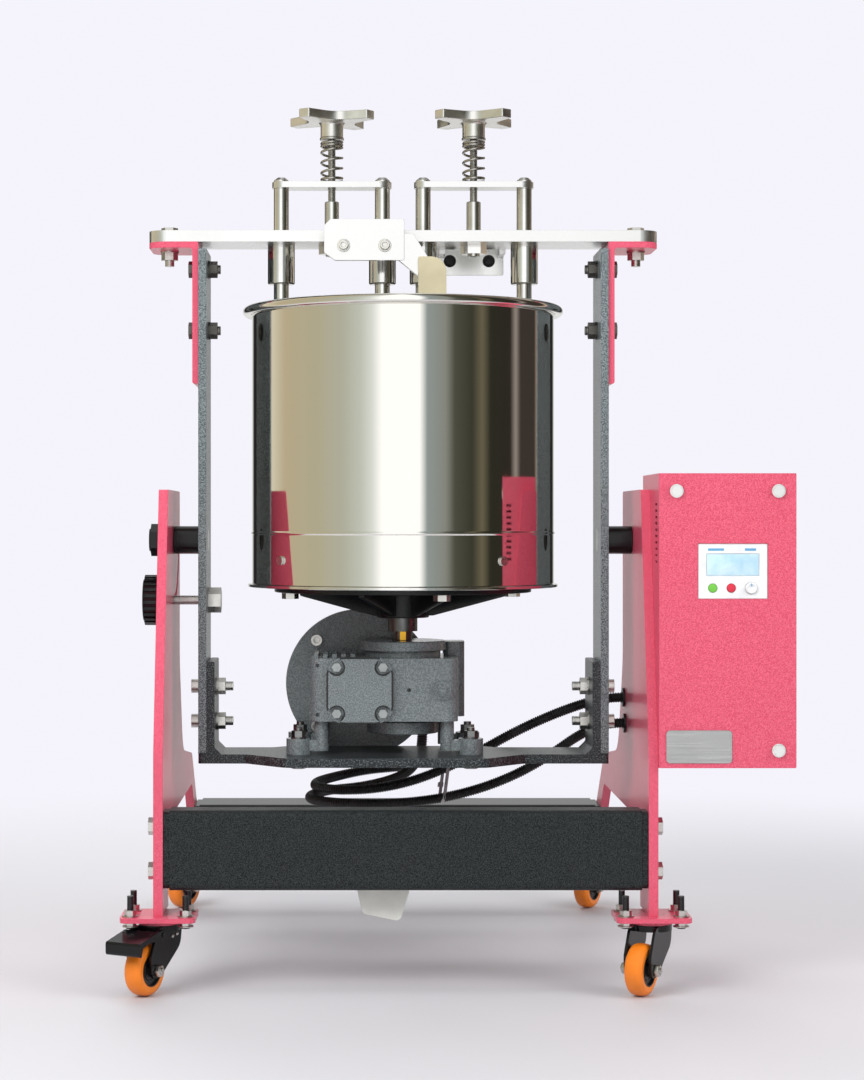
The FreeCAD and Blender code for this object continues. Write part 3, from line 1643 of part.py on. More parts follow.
parts = {
    "left_side_plate": side_plate(-1),
    "right_side_plate": side_plate(1),
    "front_beam": beam(plate_front, plate_front + beam_depth, front_beam_bottom,
                       front_beam_bottom + beam_height,
                       beam_bolt_points(-1)[:2] + beam_bolt_points(1)[:2]),
    "rear_beam": beam(rear_beam_front, rear_beam_front + beam_height, rear_beam_bottom,
                      rear_beam_bottom + beam_depth,
                      beam_bolt_points(-1)[2:] + beam_bolt_points(1)[2:]),
    "foot_plates": foot_plates(),
    "frame_bolts": frame_bolts(),
    "trunnion_bushes": trunnion_bushes(),
    "control_box": control_box(),
    "control_box_cover": control_box_cover(),
    "control_box_screws": control_box_screws(),
    "keypad": keypad(),
    "nameplate": nameplate(),
    "cable_glands": cable_glands(),
    "floor_tongue": floor_tongue(),
    "lock_knob": lock_knob(),
    "run_button": push_button(0),
    "stop_button": push_button(1),
    "speed_dial": speed_dial(),
    "brake_pedal": caster_placed(brake_pedal(), -1, front_foot_y),
    "drum_shell": drum_shell(),
    "drum_base": drum_base(),
    "granite_base": granite_base(),
    "drive_shaft": drive_shaft(),
    "drum_screws": drum_screws(),
    "yoke_arms": yoke_arms(),
    "yoke_base": yoke_base(),
    "yoke_bolts": yoke_bolts(),
    "top_brackets": top_brackets(),
    "trunnions": trunnions(),
    "top_bar": top_bar(),
    "guide_bushes": guide_bushes(),
    "screw_bosses": screw_bosses(),
    "scraper_brackets": scraper_brackets(),
    "scraper_blade": scraper_blade(),
    "gearbox_housing": gearbox_housing(),
    "gearbox_cover": gearbox_cover(),
    "gearbox_bolts": gearbox_bolts(),
    "motor": motor(),
    "fan_cowl": fan_cowl(),
    "conduits": conduits(),
}
for name, unit in (("left", -1), ("right", 1)):
    parts[name + "_posts"] = head_posts(unit)
    parts[name + "_bridge"] = head_bridge(unit)
    parts[name + "_roller"] = stone_roller(unit)
    parts[name + "_spring"] = pressure_spring(unit)
    parts[name + "_washer"] = thrust_washer(unit)
    parts[name + "_handwheel"] = handwheel(unit)
for place, side, foot_y in (
    ("front_left", -1, front_foot_y),
    ("front_right", 1, front_foot_y),
    ("rear_left", -1, rear_foot_y),
    ("rear_right", 1, rear_foot_y),
):
    braked = place == "front_left"
    parts[place + "_fork"] = caster_placed(caster_fork(braked), side, foot_y)
    parts[place + "_wheel"] = caster_placed(caster_wheel(), side, foot_y)

whole = Part.makeCompound(list(parts.values())).BoundBox
shift = V(-(whole.XMin + whole.XMax) / 2, -(whole.YMin + whole.YMax) / 2, 0)
os.makedirs("parts", exist_ok=True)
for name, shape in parts.items():
    shape.translate(shift)
    shape.exportStep("parts/" + name + ".step")
print(len(parts), "parts, shift", shift)
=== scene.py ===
import math

import bmesh
import bpy
from mathutils import Matrix, Vector


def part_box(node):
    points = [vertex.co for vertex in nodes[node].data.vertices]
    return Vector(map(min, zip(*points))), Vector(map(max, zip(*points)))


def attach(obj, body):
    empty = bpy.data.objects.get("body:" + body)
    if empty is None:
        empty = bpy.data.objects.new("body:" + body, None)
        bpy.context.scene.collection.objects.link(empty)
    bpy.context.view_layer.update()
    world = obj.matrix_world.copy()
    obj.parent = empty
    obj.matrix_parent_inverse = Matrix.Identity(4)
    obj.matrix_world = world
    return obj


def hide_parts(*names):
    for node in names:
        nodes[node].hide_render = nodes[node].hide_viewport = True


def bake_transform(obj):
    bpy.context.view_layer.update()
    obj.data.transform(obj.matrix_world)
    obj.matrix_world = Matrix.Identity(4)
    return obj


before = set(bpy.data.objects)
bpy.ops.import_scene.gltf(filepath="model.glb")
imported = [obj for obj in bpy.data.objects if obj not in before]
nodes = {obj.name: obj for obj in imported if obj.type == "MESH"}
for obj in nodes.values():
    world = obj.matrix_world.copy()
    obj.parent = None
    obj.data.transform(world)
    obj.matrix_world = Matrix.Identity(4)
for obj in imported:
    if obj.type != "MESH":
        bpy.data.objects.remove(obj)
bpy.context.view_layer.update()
print("frame loaded,", len(nodes), "nodes")

# the drum's axis stands here on the floor, and what follows is measured from it
drumX = (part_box("top_bar")[0].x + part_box("top_bar")[1].x) / 2
drumY = (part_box("top_bar")[0].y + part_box("top_bar")[1].y) / 2


def spot(x, y, z):
    # millimetres from the drum's axis and the floor, as metres in the frame
    return Vector((drumX + x / 1000, drumY + y / 1000, z / 1000))


def clearSelection():
    bpy.ops.object.select_all(action="DESELECT")


def selectOnly(piece):
    clearSelection()
    piece.select_set(True)
    bpy.context.view_layer.objects.active = piece


def startPiece(name):
    piece = bpy.context.active_object
    piece.name = name
    piece.data.name = name
    return piece


def pickFaces(test):
    # selects the faces of the piece in edit mode whose centre and normal pass the test
    bpy.ops.mesh.select_mode(type="FACE")
    bpy.ops.mesh.select_all(action="DESELECT")
    mesh = bpy.context.active_object.data
    form = bmesh.from_edit_mesh(mesh)
    for face in form.faces:
        if test(face.calc_center_median(), face.normal):
            face.select_set(True)
    bmesh.update_edit_mesh(mesh)


def addModifier(piece, kind, **settings):
    selectOnly(piece)
    modifier = piece.modifiers.new(kind.lower(), kind)
    for key, value in settings.items():
        setattr(modifier, key, value)
    bpy.ops.object.modifier_apply(modifier=modifier.name)


def roundEdges(piece, width, segments=2, angle=35):
    addModifier(piece, "BEVEL", width=width, segments=segments, limit_method="ANGLE",
                angle_limit=math.radians(angle), miter_outer="MITER_ARC")


def smooth(piece, angle=35):
    selectOnly(piece)
    bpy.ops.object.shade_smooth_by_angle(angle=math.radians(angle))


def settle(piece, at=None, toward=None):
    # turns the piece's own Z toward a direction, carries it there and applies the place
    if toward is not None:
        piece.rotation_mode = "QUATERNION"
        piece.rotation_quaternion = Vector(toward).to_track_quat("Z", "Y")
    if at is not None:
        piece.location = at
    selectOnly(piece)
    bpy.ops.object.transform_apply(location=True, rotation=True, scale=True)
    return piece


def turned(name, rings, sides=48):
    # a closed turned piece about Z from (radius, height) rows, in millimetres
    clearSelection()
    radius, height = rings[0]
    bpy.ops.mesh.primitive_circle_add(vertices=sides, radius=radius / 1000, fill_type="NGON",
                                      location=(0, 0, height / 1000))
    piece = settle(startPiece(name))
    bpy.ops.object.mode_set(mode="EDIT")
    bpy.ops.mesh.select_all(action="SELECT")
    for nextRadius, nextHeight in rings[1:]:
        rise = (nextHeight - height) / 1000
        bpy.ops.mesh.extrude_region_move(TRANSFORM_OT_translate={"value": (0, 0, rise)})
        if nextRadius != radius:
            ratio = nextRadius / radius
            bpy.ops.transform.resize(value=(ratio, ratio, 1))
        radius, height = nextRadius, nextHeight
    bpy.ops.mesh.select_all(action="SELECT")
    bpy.ops.mesh.normals_make_consistent(inside=False)
    bpy.ops.object.mode_set(mode="OBJECT")
    return piece


def roundedLoop(corners, steps=5):
    # rows of (u, v, radius) as the points round the loop, each corner turned by its arc
    points = []
    for number, (u, v, radius) in enumerate(corners):
        here = Vector((u, v))
        back = (Vector(corners[number - 1][:2]) - here).normalized()
        ahead = (Vector(corners[(number + 1) % len(corners)][:2]) - here).normalized()
        if not radius:
            points.append(here)
            continue
        half = back.angle(ahead) / 2
        centre = here + (back + ahead).normalized() * (radius / math.sin(half))
        first = here + back * (radius / math.tan(half)) - centre
        last = here + ahead * (radius / math.tan(half)) - centre
        for step in range(steps + 1):
            points.append(centre + first.slerp(last, step / steps).normalized() * radius)
    return points


def cutPlate(name, points, thick, fill="NGON"):
    # a flat sheet of that outline, in millimetres, pulled up to its thickness
    clearSelection()
    bpy.ops.mesh.primitive_circle_add(vertices=len(points), radius=0.01, fill_type=fill)
    plate = settle(startPiece(name))
    rim = [vertex for vertex in plate.data.vertices if vertex.co.length > 0.005]
    for vertex, point in zip(rim, points):
        vertex.co = (point[0] / 1000, point[1] / 1000, 0)
    bpy.ops.object.mode_set(mode="EDIT")
    bpy.ops.mesh.select_all(action="SELECT")
    if thick:
        bpy.ops.mesh.extrude_region_move(TRANSFORM_OT_translate={"value": (0, 0, thick / 1000)})
        bpy.ops.mesh.select_all(action="SELECT")
    bpy.ops.mesh.normals_make_consistent(inside=False)
    bpy.ops.object.mode_set(mode="OBJECT")
    return plate


def stood(piece, at, turn=0.0):
    # stands a flat plate up: its second axis becomes height and its first points along the turn
    piece.rotation_euler = (math.radians(90), 0, math.radians(turn))
    return settle(piece, at)


def hexNut(name, across, thick):
    # a hexagon with its corners turned off at both faces
    corner = across / math.sqrt(3)
    nut = cutPlate(name, [(corner * math.cos(math.radians(60 * n)), corner * math.sin(math.radians(60 * n))) for n in range(6)], thick)
    roundEdges(nut, across * 0.00003, 2, 25)
    return nut


def copyOf(piece, name):
    twin = piece.copy()
    twin.data = piece.data.copy()
    twin.name = name
    twin.data.name = name
    bpy.context.collection.objects.link(twin)
    return twin


def joined(name, pieces):
    clearSelection()
    for piece in pieces:
        piece.select_set(True)
    bpy.context.view_layer.objects.active = pieces[0]
    bpy.ops.object.join()
    return startPiece(name)


def startFinish(name, colour, metallic=0.0, roughness=0.5, **more):
    material = bpy.data.materials.new(name)
    material.use_nodes = True
    shader = material.node_tree.nodes["Principled BSDF"]
    shader.inputs["Base Color"].default_value = (*colour, 1)
    shader.inputs["Metallic"].default_value = metallic
    shader.inputs["Roughness"].default_value = roughness
    for key, value in more.items():
        shader.inputs[key.replace("_", " ")].default_value = value
    material.diffuse_color = (*colour, 1)
    return material


def addNode(material, kind, **values):
    node = material.node_tree.nodes.new("ShaderNode" + kind)
    for key, value in values.items():
        if key in node.inputs:
            node.inputs[key].default_value = value
        else:
            setattr(node, key, value)
    return node


def link(material, source, target):
    material.node_tree.links.new(source, target)


def shaderOf(material):
    return material.node_tree.nodes["Principled BSDF"]


def coordinates(material, scale=(1, 1, 1)):
    place = addNode(material, "TexCoord")
    mapping = addNode(material, "Mapping")
    mapping.inputs["Scale"].default_value = scale
    link(material, place.outputs["Object"], mapping.inputs["Vector"])
    return mapping.outputs["Vector"]


def noise(material, vector, scale, detail=3.0, roughness=0.5):
    node = addNode(material, "TexNoise")
    node.inputs["Scale"].default_value = scale
    node.inputs["Detail"].default_value = detail
    node.inputs["Roughness"].default_value = roughness
    link(material, vector, node.inputs["Vector"])
    return node.outputs["Fac"]


def spread(material, value, low, high, toLow, toHigh):
    node = addNode(material, "MapRange")
    for key, number in zip(("From Min", "From Max", "To Min", "To Max"), (low, high, toLow, toHigh)):
        node.inputs[key].default_value = number
    link(material, value, node.inputs["Value"])
    return node.outputs["Result"]


def twoColours(material, value, first, second, socket="Base Color"):
    node = addNode(material, "Mix", data_type="RGBA")
    node.inputs[6].default_value = (*first, 1)
    node.inputs[7].default_value = (*second, 1)
    link(material, value, node.inputs[0])
    if socket:
        link(material, node.outputs[2], shaderOf(material).inputs[socket])
    return node.outputs[2]


def roughBy(material, value, low, high, toLow, toHigh):
    link(material, spread(material, value, low, high, toLow, toHigh), shaderOf(material).inputs["Roughness"])


def bumpBy(material, height, distance, strength=1.0, softEdge=0.0, under=None):
    node = addNode(material, "Bump")
    node.inputs["Distance"].default_value = distance
    node.inputs["Strength"].default_value = strength
    link(material, height, node.inputs["Height"])
    if under is not None:
        link(material, under, node.inputs["Normal"])
    elif softEdge:
        edge = addNode(material, "Bevel", samples=4)
        edge.inputs["Radius"].default_value = softEdge
        link(material, edge.outputs["Normal"], node.inputs["Normal"])
    link(material, node.outputs["Normal"], shaderOf(material).inputs["Normal"])
    return node.outputs["Normal"]


def hammeredPaint(name, colour, glintColour, grain, depth, roughness, amount, gloss=0.5, coat=0.25, bare=0.52):
    # a hammered powder coat: small blisters, their tops painted pale as a painted highlight where they catch the light
    material = startFinish(name, colour, roughness=roughness, Specular_IOR_Level=gloss, Coat_Weight=coat, Coat_Roughness=0.18)
    vector = coordinates(material)
    warp = noise(material, vector, grain * 0.35, 2.0)
    blisters = noise(material, vector, grain, 2.0, 0.45)
    fine = noise(material, vector, grain * 3.1, 2.0)
    heights = addNode(material, "Math", operation="MULTIPLY_ADD")
    link(material, fine, heights.inputs[0])
    heights.inputs[1].default_value = 0.25
    link(material, blisters, heights.inputs[2])
    # the pale colour on the blister tops is a painted highlight, the glint each top catches
    glintTops = spread(material, blisters, bare, bare + 0.14, 0.0, amount)
    light = twoColours(material, glintTops, colour, glintColour, None)
    worn = addNode(material, "Mix", data_type="RGBA", blend_type="MULTIPLY")
    worn.inputs[0].default_value = 0.5
    link(material, light, worn.inputs[6])
    shade = spread(material, warp, 0.35, 0.65, 0.88, 1.05)
    link(material, shade, worn.inputs[7])
    link(material, worn.outputs[2], shaderOf(material).inputs["Base Color"])
    bumpBy(material, heights.outputs[0], depth, 0.8, 0.0012)
    return material


def brushedMetal(name, colour, roughness, along, scale=900.0, depth=0.00005, softEdge=0.0006):
    # fine scratches drawn out along one axis
    material = startFinish(name, colour, metallic=1.0, roughness=roughness)
    stretch = [1.0, 1.0, 1.0]
    stretch["XYZ".index(along)] = 0.03
    vector = coordinates(material, stretch)
    hairs = noise(material, vector, scale, 4.0, 0.6)
    patches = noise(material, coordinates(material), 14.0, 2.0)
    roughBy(material, hairs, 0.3, 0.7, roughness * 0.75, roughness * 1.3)
    twoColours(material, spread(material, patches, 0.35, 0.65, 0.0, 1.0),
               [c * 0.93 for c in colour], [min(c * 1.05, 1.0) for c in colour])
    bumpBy(material, hairs, depth, 0.5, softEdge)
    return material


def plainMetal(name, colour, roughness, mottle=60.0, depth=0.00004, softEdge=0.0006):
    # plated or cast metal with uneven shine
    material = startFinish(name, colour, metallic=1.0, roughness=roughness)
    vector = coordinates(material)
    cloud = noise(material, vector, mottle, 4.0, 0.6)
    roughBy(material, cloud, 0.3, 0.7, roughness * 0.7, roughness * 1.35)
    twoColours(material, spread(material, cloud, 0.3, 0.7, 0.0, 1.0),
               [c * 0.86 for c in colour], [min(c * 1.08, 1.0) for c in colour])
    bumpBy(material, noise(material, vector, mottle * 14, 2.0), depth, 0.6, softEdge)
    return material


def zonedMetal(name, zones, centre):
    # one metal for each stretch from the rear to the front, each zone ending at its Y value
    material = startFinish(name, zones[0][0], metallic=1.0, roughness=0.34)
    vector = coordinates(material)
    axes = addNode(material, "SeparateXYZ")
    link(material, vector, axes.inputs[0])
    shown = None
    for (colour, limit), (nextColour, ignored) in zip(zones, zones[1:]):
        before = addNode(material, "Math", operation="LESS_THAN")
        link(material, axes.outputs["Y"], before.inputs[0])
        before.inputs[1].default_value = limit + centre
        mix = addNode(material, "Mix", data_type="RGBA")
        link(material, before.outputs[0], mix.inputs[0])
        mix.inputs[6].default_value = (*colour, 1)
        if shown is not None:
            link(material, shown, mix.inputs[6])
        mix.inputs[7].default_value = (*nextColour, 1)
        shown = mix.outputs[2]
    link(material, shown, shaderOf(material).inputs["Base Color"])
    cloud = noise(material, vector, 60.0, 4.0, 0.6)
    roughBy(material, cloud, 0.3, 0.7, 0.24, 0.46)
    bumpBy(material, noise(material, vector, 840.0, 2.0), 0.00004, 0.6, 0.0006)
    return material


def maskedMetal(name, colour, other, low, high, roughness=0.34):
    # one metal, with another inside a box that is given from the drum's axis and the floor in millimetres
    material = startFinish(name, colour, metallic=1.0, roughness=roughness)
    vector = coordinates(material)
    axes = addNode(material, "SeparateXYZ")
    link(material, vector, axes.inputs[0])
    inside = None
    for axis, start, end in zip("XYZ", spot(*low), spot(*high)):
        for operation, limit in (("GREATER_THAN", start), ("LESS_THAN", end)):
            test = addNode(material, "Math", operation=operation)
            link(material, axes.outputs[axis], test.inputs[0])
            test.inputs[1].default_value = limit
            if inside is not None:
                both = addNode(material, "Math", operation="MULTIPLY")
                link(material, inside, both.inputs[0])
                link(material, test.outputs[0], both.inputs[1])
                test = both
            inside = test.outputs[0]
    twoColours(material, inside, colour, other)
    cloud = noise(material, vector, 60.0, 4.0, 0.6)
    roughBy(material, cloud, 0.3, 0.7, roughness * 0.7, roughness * 1.35)
    bumpBy(material, noise(material, vector, 840.0, 2.0), 0.00004, 0.6, 0.0006)
    return material


def bracketBolts():
    # plated steel, but dark where the angle brackets are bolted to the arms
    material = startFinish("yokeBolts", (0.6, 0.59, 0.56), metallic=1.0, roughness=0.32)
    vector = coordinates(material)
    axes = addNode(material, "SeparateXYZ")
    link(material, vector, axes.inputs[0])
    away = addNode(material, "Math", operation="SUBTRACT")
    link(material, axes.outputs["X"], away.inputs[0])
    away.inputs[1].default_value = drumX
    side = addNode(material, "Math", operation="ABSOLUTE")
    link(material, away.outputs[0], side.inputs[0])
    near = addNode(material, "Math", operation="LESS_THAN")
    link(material, side.outputs[0], near.inputs[0])
    near.inputs[1].default_value = 0.298
    high = addNode(material, "Math", operation="GREATER_THAN")
    link(material, axes.outputs["Z"], high.inputs[0])
    high.inputs[1].default_value = 0.7
    both = addNode(material, "Math", operation="MULTIPLY")
    link(material, near.outputs[0], both.inputs[0])
    link(material, high.outputs[0], both.inputs[1])
    twoColours(material, both.outputs[0], (0.6, 0.59, 0.56), (0.12, 0.115, 0.105))
    cloud = noise(material, vector, 60.0, 4.0, 0.6)
    roughBy(material, cloud, 0.3, 0.7, 0.22, 0.42)
    bumpBy(material, noise(material, vector, 840.0, 2.0), 0.00004, 0.6, 0.0006)
    return material


def mouldedPlastic(name, colour, roughness, grain=1400.0, depth=0.00005, softEdge=0.0005, **more):
    material = startFinish(name, colour, roughness=roughness, **more)
    vector = coordinates(material)
    skin = noise(material, vector, grain, 2.0)
    handled = noise(material, vector, 35.0, 3.0)
    roughBy(material, handled, 0.3, 0.7, roughness * 0.85, roughness * 1.15)
    twoColours(material, spread(material, handled, 0.3, 0.7, 0.0, 1.0),
               [c * 0.9 for c in colour], [min(c * 1.06, 1.0) for c in colour])
    bumpBy(material, skin, depth, 0.5, softEdge)
    return material


def graniteFinish():
    material = startFinish("honedGranite", (0.33, 0.31, 0.3), roughness=0.45)
    vector = coordinates(material)
    grains = addNode(material, "TexVoronoi")
    grains.inputs["Scale"].default_value = 340.0
    link(material, vector, grains.inputs["Vector"])
    ramp = addNode(material, "ValToRGB")
    ramp.color_ramp.elements[0].color = (0.05, 0.045, 0.045, 1)
    ramp.color_ramp.elements[1].color = (0.62, 0.58, 0.56, 1)
    middle = ramp.color_ramp.elements.new(0.45)
    middle.color = (0.3, 0.28, 0.28, 1)
    grey = addNode(material, "RGBToBW")
    link(material, grains.outputs["Color"], grey.inputs["Color"])
    link(material, grey.outputs["Val"], ramp.inputs["Fac"])
    link(material, ramp.outputs["Color"], shaderOf(material).inputs["Base Color"])
    bumpBy(material, noise(material, vector, 800.0, 3.0), 0.00008, 0.6, 0.0012)
    return material


def mirrorDrumFinish():
    # polished sheet with faint rolling lines up the wall and a few cloudy patches
    material = startFinish("mirrorDrum", (0.80, 0.785, 0.74), metallic=1.0, roughness=0.08)
    lines = noise(material, coordinates(material, (1, 1, 0.02)), 260.0, 3.0, 0.6)
    cloud = noise(material, coordinates(material), 9.0, 3.0)
    roughBy(material, cloud, 0.35, 0.7, 0.04, 0.09)
    bumpBy(material, lines, 0.00002, 0.35)
    return material


def conduitFinish():
    material = startFinish("conduitBlack", (0.012, 0.012, 0.013), roughness=0.42)
    vector = coordinates(material)
    dust = noise(material, vector, 45.0, 3.0)
    twoColours(material, spread(material, dust, 0.45, 0.75, 0.0, 1.0), (0.010, 0.010, 0.011), (0.04, 0.04, 0.042))
    roughBy(material, dust, 0.3, 0.7, 0.35, 0.55)
    return material


finishes = {
    # the second colour of each hammered paint is the painted highlight on its blister tops
    "redPaint": hammeredPaint("redHammered", (0.645, 0.052, 0.108), (0.79, 0.125, 0.205), 1050.0, 0.0008, 0.3, 1.0, bare=0.43),
    "beamPaint": hammeredPaint("beamHammered", (0.001, 0.002, 0.002), (0.032, 0.039, 0.041), 860.0, 0.0008, 0.36, 1.0, 0.24, 0.03, 0.43),
    "blackPaint": hammeredPaint("blackHammered", (0.012, 0.015, 0.017), (0.20, 0.235, 0.245), 640.0, 0.0007, 0.36, 0.7, 0.3, 0.15),
    "armPaint": hammeredPaint("armHammered", (0.04, 0.052, 0.056), (0.25, 0.30, 0.31), 700.0, 0.0007, 0.34, 1.0, bare=0.43),
    "castPaint": hammeredPaint("castGrey", (0.125, 0.152, 0.157), (0.205, 0.24, 0.246), 560.0, 0.0018, 0.24, 1.0, 0.5, 0.6, 0.43),
    "satinBlack": hammeredPaint("satinBlack", (0.008, 0.009, 0.010), (0.02, 0.022, 0.024), 380.0, 0.0002, 0.3, 0.3, 0.3, 0.0),
    "nickel": plainMetal("mattNickel", (0.90, 0.89, 0.85), 0.34, 30.0, 0.00003),
    "shaft": maskedMetal("driveShaft", (0.16, 0.16, 0.16), (0.80, 0.44, 0.05), (-4.4, -18, 430), (4.4, -12.2, 445.2)),
    "footBolts": maskedMetal("footBolts", (0.60, 0.59, 0.56), (0.07, 0.07, 0.072), (-400, -300, 105.5), (400, 600, 124), 0.3),
    "gearBolts": zonedMetal("gearBolts", [((0.62, 0.61, 0.58), 0.060), ((0.26, 0.265, 0.265), -0.060), ((0.36, 0.38, 0.385), None)], drumY),
    "yokeBolts": bracketBolts(),
    "tie": mouldedPlastic("tiePlastic", (0.52, 0.53, 0.54), 0.4),
    "zinc": plainMetal("zincPlate", (0.60, 0.59, 0.56), 0.3),
    "blackSteel": plainMetal("blackOxide", (0.035, 0.035, 0.037), 0.34),
    "brightBar": plainMetal("groundBar", (0.90, 0.90, 0.89), 0.3, 9.0, 0.000008),
    "mirror": plainMetal("polishedSteel", (0.80, 0.79, 0.77), 0.1, 20.0, 0.00001),
    "drum": mirrorDrumFinish(),
    "satin": plainMetal("satinSteel", (0.62, 0.61, 0.58), 0.3, 40.0),
    "granite": graniteFinish(),
    "bronze": plainMetal("machinedBronze", (0.72, 0.42, 0.12), 0.3),
    "orange": mouldedPlastic("orangeTyre", (0.86, 0.22, 0.012), 0.38, 700.0),
    "glossBlack": mouldedPlastic("glossBlackPaint", (0.005, 0.005, 0.006), 0.2, 500.0, 0.00005, 0.0008, Specular_IOR_Level=0.32),
    "blackPlastic": mouldedPlastic("blackMoulding", (0.012, 0.012, 0.013), 0.32),
    "conduit": conduitFinish(),
    "white": mouldedPlastic("whiteMoulding", (0.82, 0.83, 0.83), 0.4),
    "green": mouldedPlastic("greenKey", (0.16, 0.52, 0.06), 0.4),
    "redKey": mouldedPlastic("redKey", (0.66, 0.03, 0.06), 0.4),
    "beige": mouldedPlastic("beigePolyethylene", (0.60, 0.54, 0.36), 0.48, 260.0, 0.00015),
    "pale": mouldedPlastic("paleSheet", (0.80, 0.80, 0.74), 0.42),
    "plate": brushedMetal("barePlate", (0.46, 0.46, 0.46), 0.32, "X", 500.0),
    "spring": plainMetal("springWire", (0.52, 0.5, 0.46), 0.24),
    "blueMark": mouldedPlastic("blueMark", (0.12, 0.38, 0.62), 0.4),
}
print(len(finishes), "finishes")

nodeFinishes = {
    "redPaint": ["left_side_plate", "right_side_plate", "foot_plates", "control_box", "control_box_cover",
                 "top_brackets"],
    "beamPaint": ["front_beam"],
    "blackPaint": ["yoke_base"],
    "armPaint": ["yoke_arms"],
    "castPaint": ["gearbox_housing", "gearbox_cover", "motor", "fan_cowl"],
    "zinc": ["left_washer", "right_washer"],
    "footBolts": ["frame_bolts"],
    "yokeBolts": ["yoke_bolts"],
    "gearBolts": ["gearbox_bolts"],
    "shaft": ["drive_shaft"],
    "satinBlack": ["drum_base", "rear_beam"],
    "brightBar": ["top_bar", "left_bridge", "right_bridge", "scraper_brackets", "control_box_screws"],
    "mirror": ["guide_bushes", "screw_bosses", "left_posts", "right_posts"],
    "drum": ["drum_shell"],
    "satin": ["drum_screws", "left_handwheel", "right_handwheel"],
    "granite": ["granite_base", "left_roller", "right_roller"],
    "bronze": ["trunnion_bushes"],
    "orange": ["front_left_wheel", "front_right_wheel", "rear_left_wheel", "rear_right_wheel"],
    "glossBlack": ["trunnions", "brake_pedal", "front_left_fork", "front_right_fork",
                   "rear_left_fork", "rear_right_fork"],
    "blackPlastic": ["cable_glands", "lock_knob"],
    "conduit": ["conduits"],
    "white": ["keypad", "speed_dial"],
    "green": ["run_button"],
    "redKey": ["stop_button"],
    "beige": ["scraper_blade"],
    "pale": ["floor_tongue"],
    "plate": ["nameplate"],
    "spring": ["left_spring", "right_spring"],
}
for key, names in nodeFinishes.items():
    for name in names:
        node = nodes[name]
        node.data.materials.clear()
        node.data.materials.append(finishes[key])
        smooth(node, 30)
dressed = sum(len(names) for names in nodeFinishes.values())
print(dressed, "nodes have their finish")

drumSizes = {"radius": 200.0, "foot": 508.3, "top": 867.0, "rimWire": 6.0, "bead": 575.0, "wall": 1.5, "sides": 256}


def makeDrum():
    radius = drumSizes["radius"]
    foot, top, bead = drumSizes["foot"], drumSizes["top"], drumSizes["bead"]
    wire = drumSizes["rimWire"]
    # a close row on the wall at each turn keeps its long faces straight in the reflections
    rings = [(radius - 12, foot), (radius - 0.6, foot), (radius - 0.2, foot + 0.2), (radius, foot + 0.6), (radius, foot + 1.0),
             (radius, bead - 3.0), (radius, bead - 2.4), (radius + 0.9, bead - 1.2), (radius + 1.2, bead),
             (radius + 0.9, bead + 1.2), (radius, bead + 2.4), (radius, bead + 3.0), (radius, top - 9.6), (radius, top - 9)]
    for step in range(0, 17):
        turn = math.radians(188 + 335 * step / 16)
        rings.append((radius + wire + wire * math.cos(turn), top + wire * math.sin(turn)))
    inner = radius - drumSizes["wall"]
    rings += [(inner, top + 0.5), (inner, foot + 1.5)]
    drum = turned("drumWall", rings, drumSizes["sides"])
    settle(drum, spot(0, 0, 0))
    smooth(drum, 50)
    drum.data.materials.append(finishes["drum"])
    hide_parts("drum_shell")
    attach(drum, "drum")


drumFootSizes = {"disc": 205.0, "discLow": 504.0, "carrier": 170.0, "carrierLow": 497.0, "hub": 35.0, "hubLow": 463.0,
                 "ribs": 8, "ribReach": 145.0, "ribThick": 8.0}


def makeDrumFoot():
    # the bright floor disc, and under it the black carrier with its hub and ribs
    size = drumFootSizes
    disc = turned("floorDisc", [(30, size["discLow"]), (size["disc"] - 0.5, size["discLow"]), (size["disc"], size["discLow"] + 0.5),
                                (size["disc"], 507.5), (size["disc"] - 0.5, 508.0), (199.0, 508.0)], 192)
    settle(disc, spot(0, 0, 0))
    smooth(disc, 40)
    disc.data.materials.append(finishes["mirror"])
    carrier = turned("carrierDisc", [(13.5, size["carrierLow"]), (size["carrier"] - 0.8, size["carrierLow"]),
                                     (size["carrier"], size["carrierLow"] + 0.8), (size["carrier"], size["discLow"] - 0.1)], 192)
    hub = turned("carrierHub", [(13.5, size["hubLow"]), (size["hub"] - 1.2, size["hubLow"]), (size["hub"], size["hubLow"] + 1.2),
                                (size["hub"], 490), (size["hub"] + 2, 494.5), (size["hub"] + 6, size["carrierLow"] + 0.5)], 96)
    blackPieces = [carrier, hub]
    profile = roundedLoop([(size["hub"] - 3, size["hubLow"] + 3, 0), (size["hub"] + 8, size["hubLow"] + 3, 4),
                           (size["ribReach"], size["carrierLow"] - 4, 3), (size["ribReach"], size["carrierLow"] + 0.4, 0),
                           (size["hub"] - 3, size["carrierLow"] + 0.4, 0)], 4)
    pattern = cutPlate("carrierRib", profile, size["ribThick"])
    roundEdges(pattern, 0.0008)
    for number in range(size["ribs"]):
        turn = 360 / size["ribs"] * (number + 0.5)
        rib = copyOf(pattern, "carrierRib" + str(number))
        side = Vector((-math.sin(math.radians(turn)), math.cos(math.radians(turn)), 0)) * (size["ribThick"] / 2000)
        blackPieces.append(stood(rib, side, turn))
    bpy.data.objects.remove(pattern)
    carrier = joined("drumCarrier", blackPieces)
    settle(carrier, spot(0, 0, 0))
    smooth(carrier, 30)
    carrier.data.materials.append(finishes["satinBlack"])
    for piece, slotName in ((disc, "satin_steel"), (carrier, "satin_steel")):
        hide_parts("drum_base")
        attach(piece, "drum")


springSizes = {"wire": 1.75, "coil": 13.6, "foot": 1039.6, "top": 1094.6, "closedTurns": 2, "openTurns": 3, "side": 94.0}


